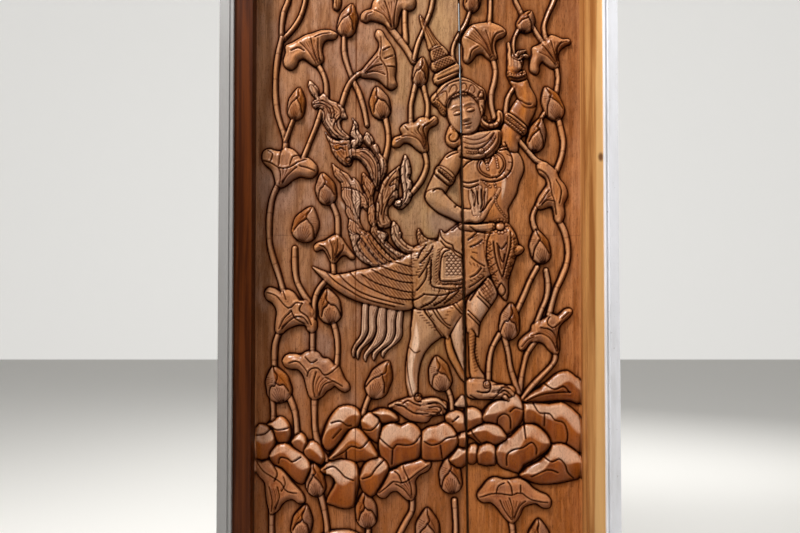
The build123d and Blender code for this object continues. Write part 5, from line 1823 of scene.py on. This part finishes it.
# Painted shade: the left jamb is coloured much darker than the right one, as if in shadow. The head and the
# sill share these dark colours.
dark_teak = {"dark": paint(52, 18, 0), "light": paint(84, 38, 8), "rough": 0.4}
plank_back, _ = plain_teak("plain teak", paint(100, 64, 38), paint(132, 92, 60), rough=0.6)
shaded_left_teak, _ = plain_teak("teak of the left jamb", **dark_teak)
rail_teak, _ = plain_teak("teak of the head and sill", **dark_teak, along="X")
cross_teak, _ = plain_teak("teak of the ledges", paint(84, 48, 24), paint(122, 80, 48), 0.55, along="X")
key_teak, _ = plain_teak("pegs and keys", paint(70, 36, 16), paint(112, 68, 38), rough=0.5)

# %% [markdown]
# The right jamb shows the heart of the board on its inner half and the paler sapwood outside, with
# a wavy line between them and one small knot.

# %% The right jamb
right_teak, wood = plain_teak("teak of the right jamb", paint(148, 90, 42), paint(196, 138, 80), 0.4,
                              grain=0.3)
across_jamb, up_jamb = right_teak.axis("X"), right_teak.axis("Z")
wander = right_teak.noise(2.2, stretch=(0.2, 0.2, 1), detail=2)
sapwood = (across_jamb + wander * 0.02 - 0.466 - up_jamb * 0.01).band(-0.003, 0.003)
wood = right_teak.mix(sapwood * (wander * 0.7 + 0.25), wood, paint(222, 178, 118))
knot_x, knot_z = 0.482, 1.393
apart = ((across_jamb - knot_x) ** 2 + ((up_jamb - knot_z) * 0.6) ** 2).math("SQRT")
wood = right_teak.mix((1 - apart.band(0.003, 0.010)) * 0.85, wood, paint(78, 34, 10))
right_teak.set("Base Color", wood)
print("knot at", knot_x, knot_z)

# %% [markdown]
# The casing is white gloss paint, a little grubby where rain and hands reach it, and the left casing is
# painted grey as shade. The hinges are plain steel with a thin brown bloom, and the nails are black forged
# iron.

# %% Paint
white = Finish("white paint")
grime = white.noise(9, stretch=(3, 3, 0.5), detail=5, rough=0.6)
flecks = white.noise(150, detail=2, shift=(2, 7, 1))
# Painted shade: the casing left of the door's middle is painted grey.
painted_shade_on_left = (white.axis("X") * -1).band(0.0, 0.3) * 0.8
coat = white.mix(grime.band(0.42, 0.75) * 0.35, paint(226, 226, 230), paint(170, 166, 160))
coat = white.mix(flecks.band(0.68, 0.76) * 0.5, coat, paint(120, 106, 90))
coat = white.mix(painted_shade_on_left, coat, paint(112, 108, 102))
white.set("Base Color", coat)
white.set("Roughness", 0.45)
print("paint nodes", len(white.nodes))

# %% Metal


def metal(name, clean, rusty, rough, rust):
    made = Finish(name)
    spread = made.noise(45, detail=6, rough=0.65).band(0.62 - rust * 0.3, 0.72 - rust * 0.1)
    made.set("Metallic", (1 - spread * 0.8) * 0.9)
    made.set("Base Color", made.mix(spread, clean, rusty))
    made.set("Roughness", (spread * 0.35 + rough).clip())
    made.bump(made.noise(400, detail=3), strength=0.3, depth=0.2 * MM)
    print("metal", name)
    return made


steel = metal("hinge steel", paint(150, 148, 144), paint(98, 66, 44), rough=0.34, rust=0.3)
iron = metal("forged iron", paint(58, 56, 54), paint(66, 44, 32), rough=0.55, rust=0.5)

# %% Finishes on the measured pieces
hinge_pieces = [f"hinge_{i}_{piece}" for i in (1, 2, 3) for piece in ("frame_plate", "door_plate", "pin")]
for finish, names in ((shaded_left_teak, ["jamb_left"]), (right_teak, ["jamb_right"]),
                      (rail_teak, ["head", "sill"]),
                      (cross_teak, ["ledge_lower", "ledge_middle", "ledge_upper"]),
                      (key_teak, ["frame_pegs", "joint_1_keys", "joint_2_keys"]),
                      (white, ["casing_left", "casing_right", "casing_head"]),
                      (iron, ["ledge_nails"]), (steel, hinge_pieces)):
    for name in names:
        nodes[name].data.materials[0] = finish.material
    print(finish.material.name, "on", len(names))

# %% [markdown]
# Each hinge plate is held by four slotted screws, their heads let in flush. They only show while the
# door stands open.

# %% A hinge screw
screw_radius = 4 * MM
slot_size = (0.6 * MM, 0.9 * MM, 9 * MM)


def screw(x, y, z, side, turn):
    """One head, with its slot on the side that can be seen."""
    bpy.ops.mesh.primitive_cylinder_add(vertices=28, radius=screw_radius, depth=0.5 * MM,
                                        location=(x, y, z), rotation=(0, math.pi / 2, 0))
    head = bpy.context.object
    bpy.ops.mesh.primitive_cube_add(size=1, location=(x + side * 0.35 * MM, y, z), rotation=(turn, 0, 0),
                                    scale=slot_size)
    slot = bpy.context.object
    bpy.context.view_layer.objects.active = head
    cut = head.modifiers.new("slot", "BOOLEAN")
    cut.operation = "DIFFERENCE"
    cut.object = slot
    bpy.ops.object.modifier_apply(modifier=cut.name)
    bpy.data.objects.remove(slot)
    return head


# %% Four screws on each hinge plate


def plate_screws(plate, body, side):
    """Two staggered columns of screws, on the side of the plate that can be seen."""
    low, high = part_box(plate)
    face = high.x if side > 0 else low.x
    middle = (low.z + high.z) / 2
    heads = []
    for i in range(4):
        y = low.y + (9 + 12 * (i % 2)) * MM
        z = middle + (i - 1.5) * 30 * MM
        heads.append(screw(face - side * 0.15 * MM, y, z, side, 0.5 + 0.9 * i))
    bpy.ops.object.select_all(action="DESELECT")
    for head in heads:
        head.select_set(True)
    bpy.context.view_layer.objects.active = heads[0]
    bpy.ops.object.join()
    bpy.ops.object.transform_apply(location=True, rotation=True, scale=True)
    heads[0].name = plate + "_screws"
    heads[0].data.materials.append(steel.material)
    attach(heads[0], body)
    print(heads[0].name)


for i in (1, 2, 3):
    plate_screws(f"hinge_{i}_frame_plate", "frame", 1)
    plate_screws(f"hinge_{i}_door_plate", "leaf", -1)

# %% [markdown]
# Now the three planks can be cut from the grid. The right one carries the thin tongue that shuts
# the open joint at the back.

# %% Cut the planks
for name in ("left", "middle", "right"):
    carve_plank(name, "lower", leaf_low.z, split)
    carve_plank(name, "upper", split, leaf_high.z)

# %% The tongue in the open joint
tongue_top = leaf_low.z + 1422 * MM
tongue_thickness = 15 * MM
bpy.ops.object.select_all(action="DESELECT")
bpy.ops.mesh.primitive_cube_add(size=1)
tongue = bpy.context.object
tongue.name = "plank_right_tongue"
for vertex in tongue.data.vertices:
    z = tongue_top if vertex.co.z > 0 else leaf_low.z
    y = back_y if vertex.co.y > 0 else back_y - tongue_thickness
    vertex.co = (joint_2(z, 1 if vertex.co.x > 0 else -1), y, z)
tongue.data.materials.append(plank_back.material)
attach(tongue, "leaf")
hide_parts("plank_right")
print("tongue up to", round(tongue_top / MM), "mm")
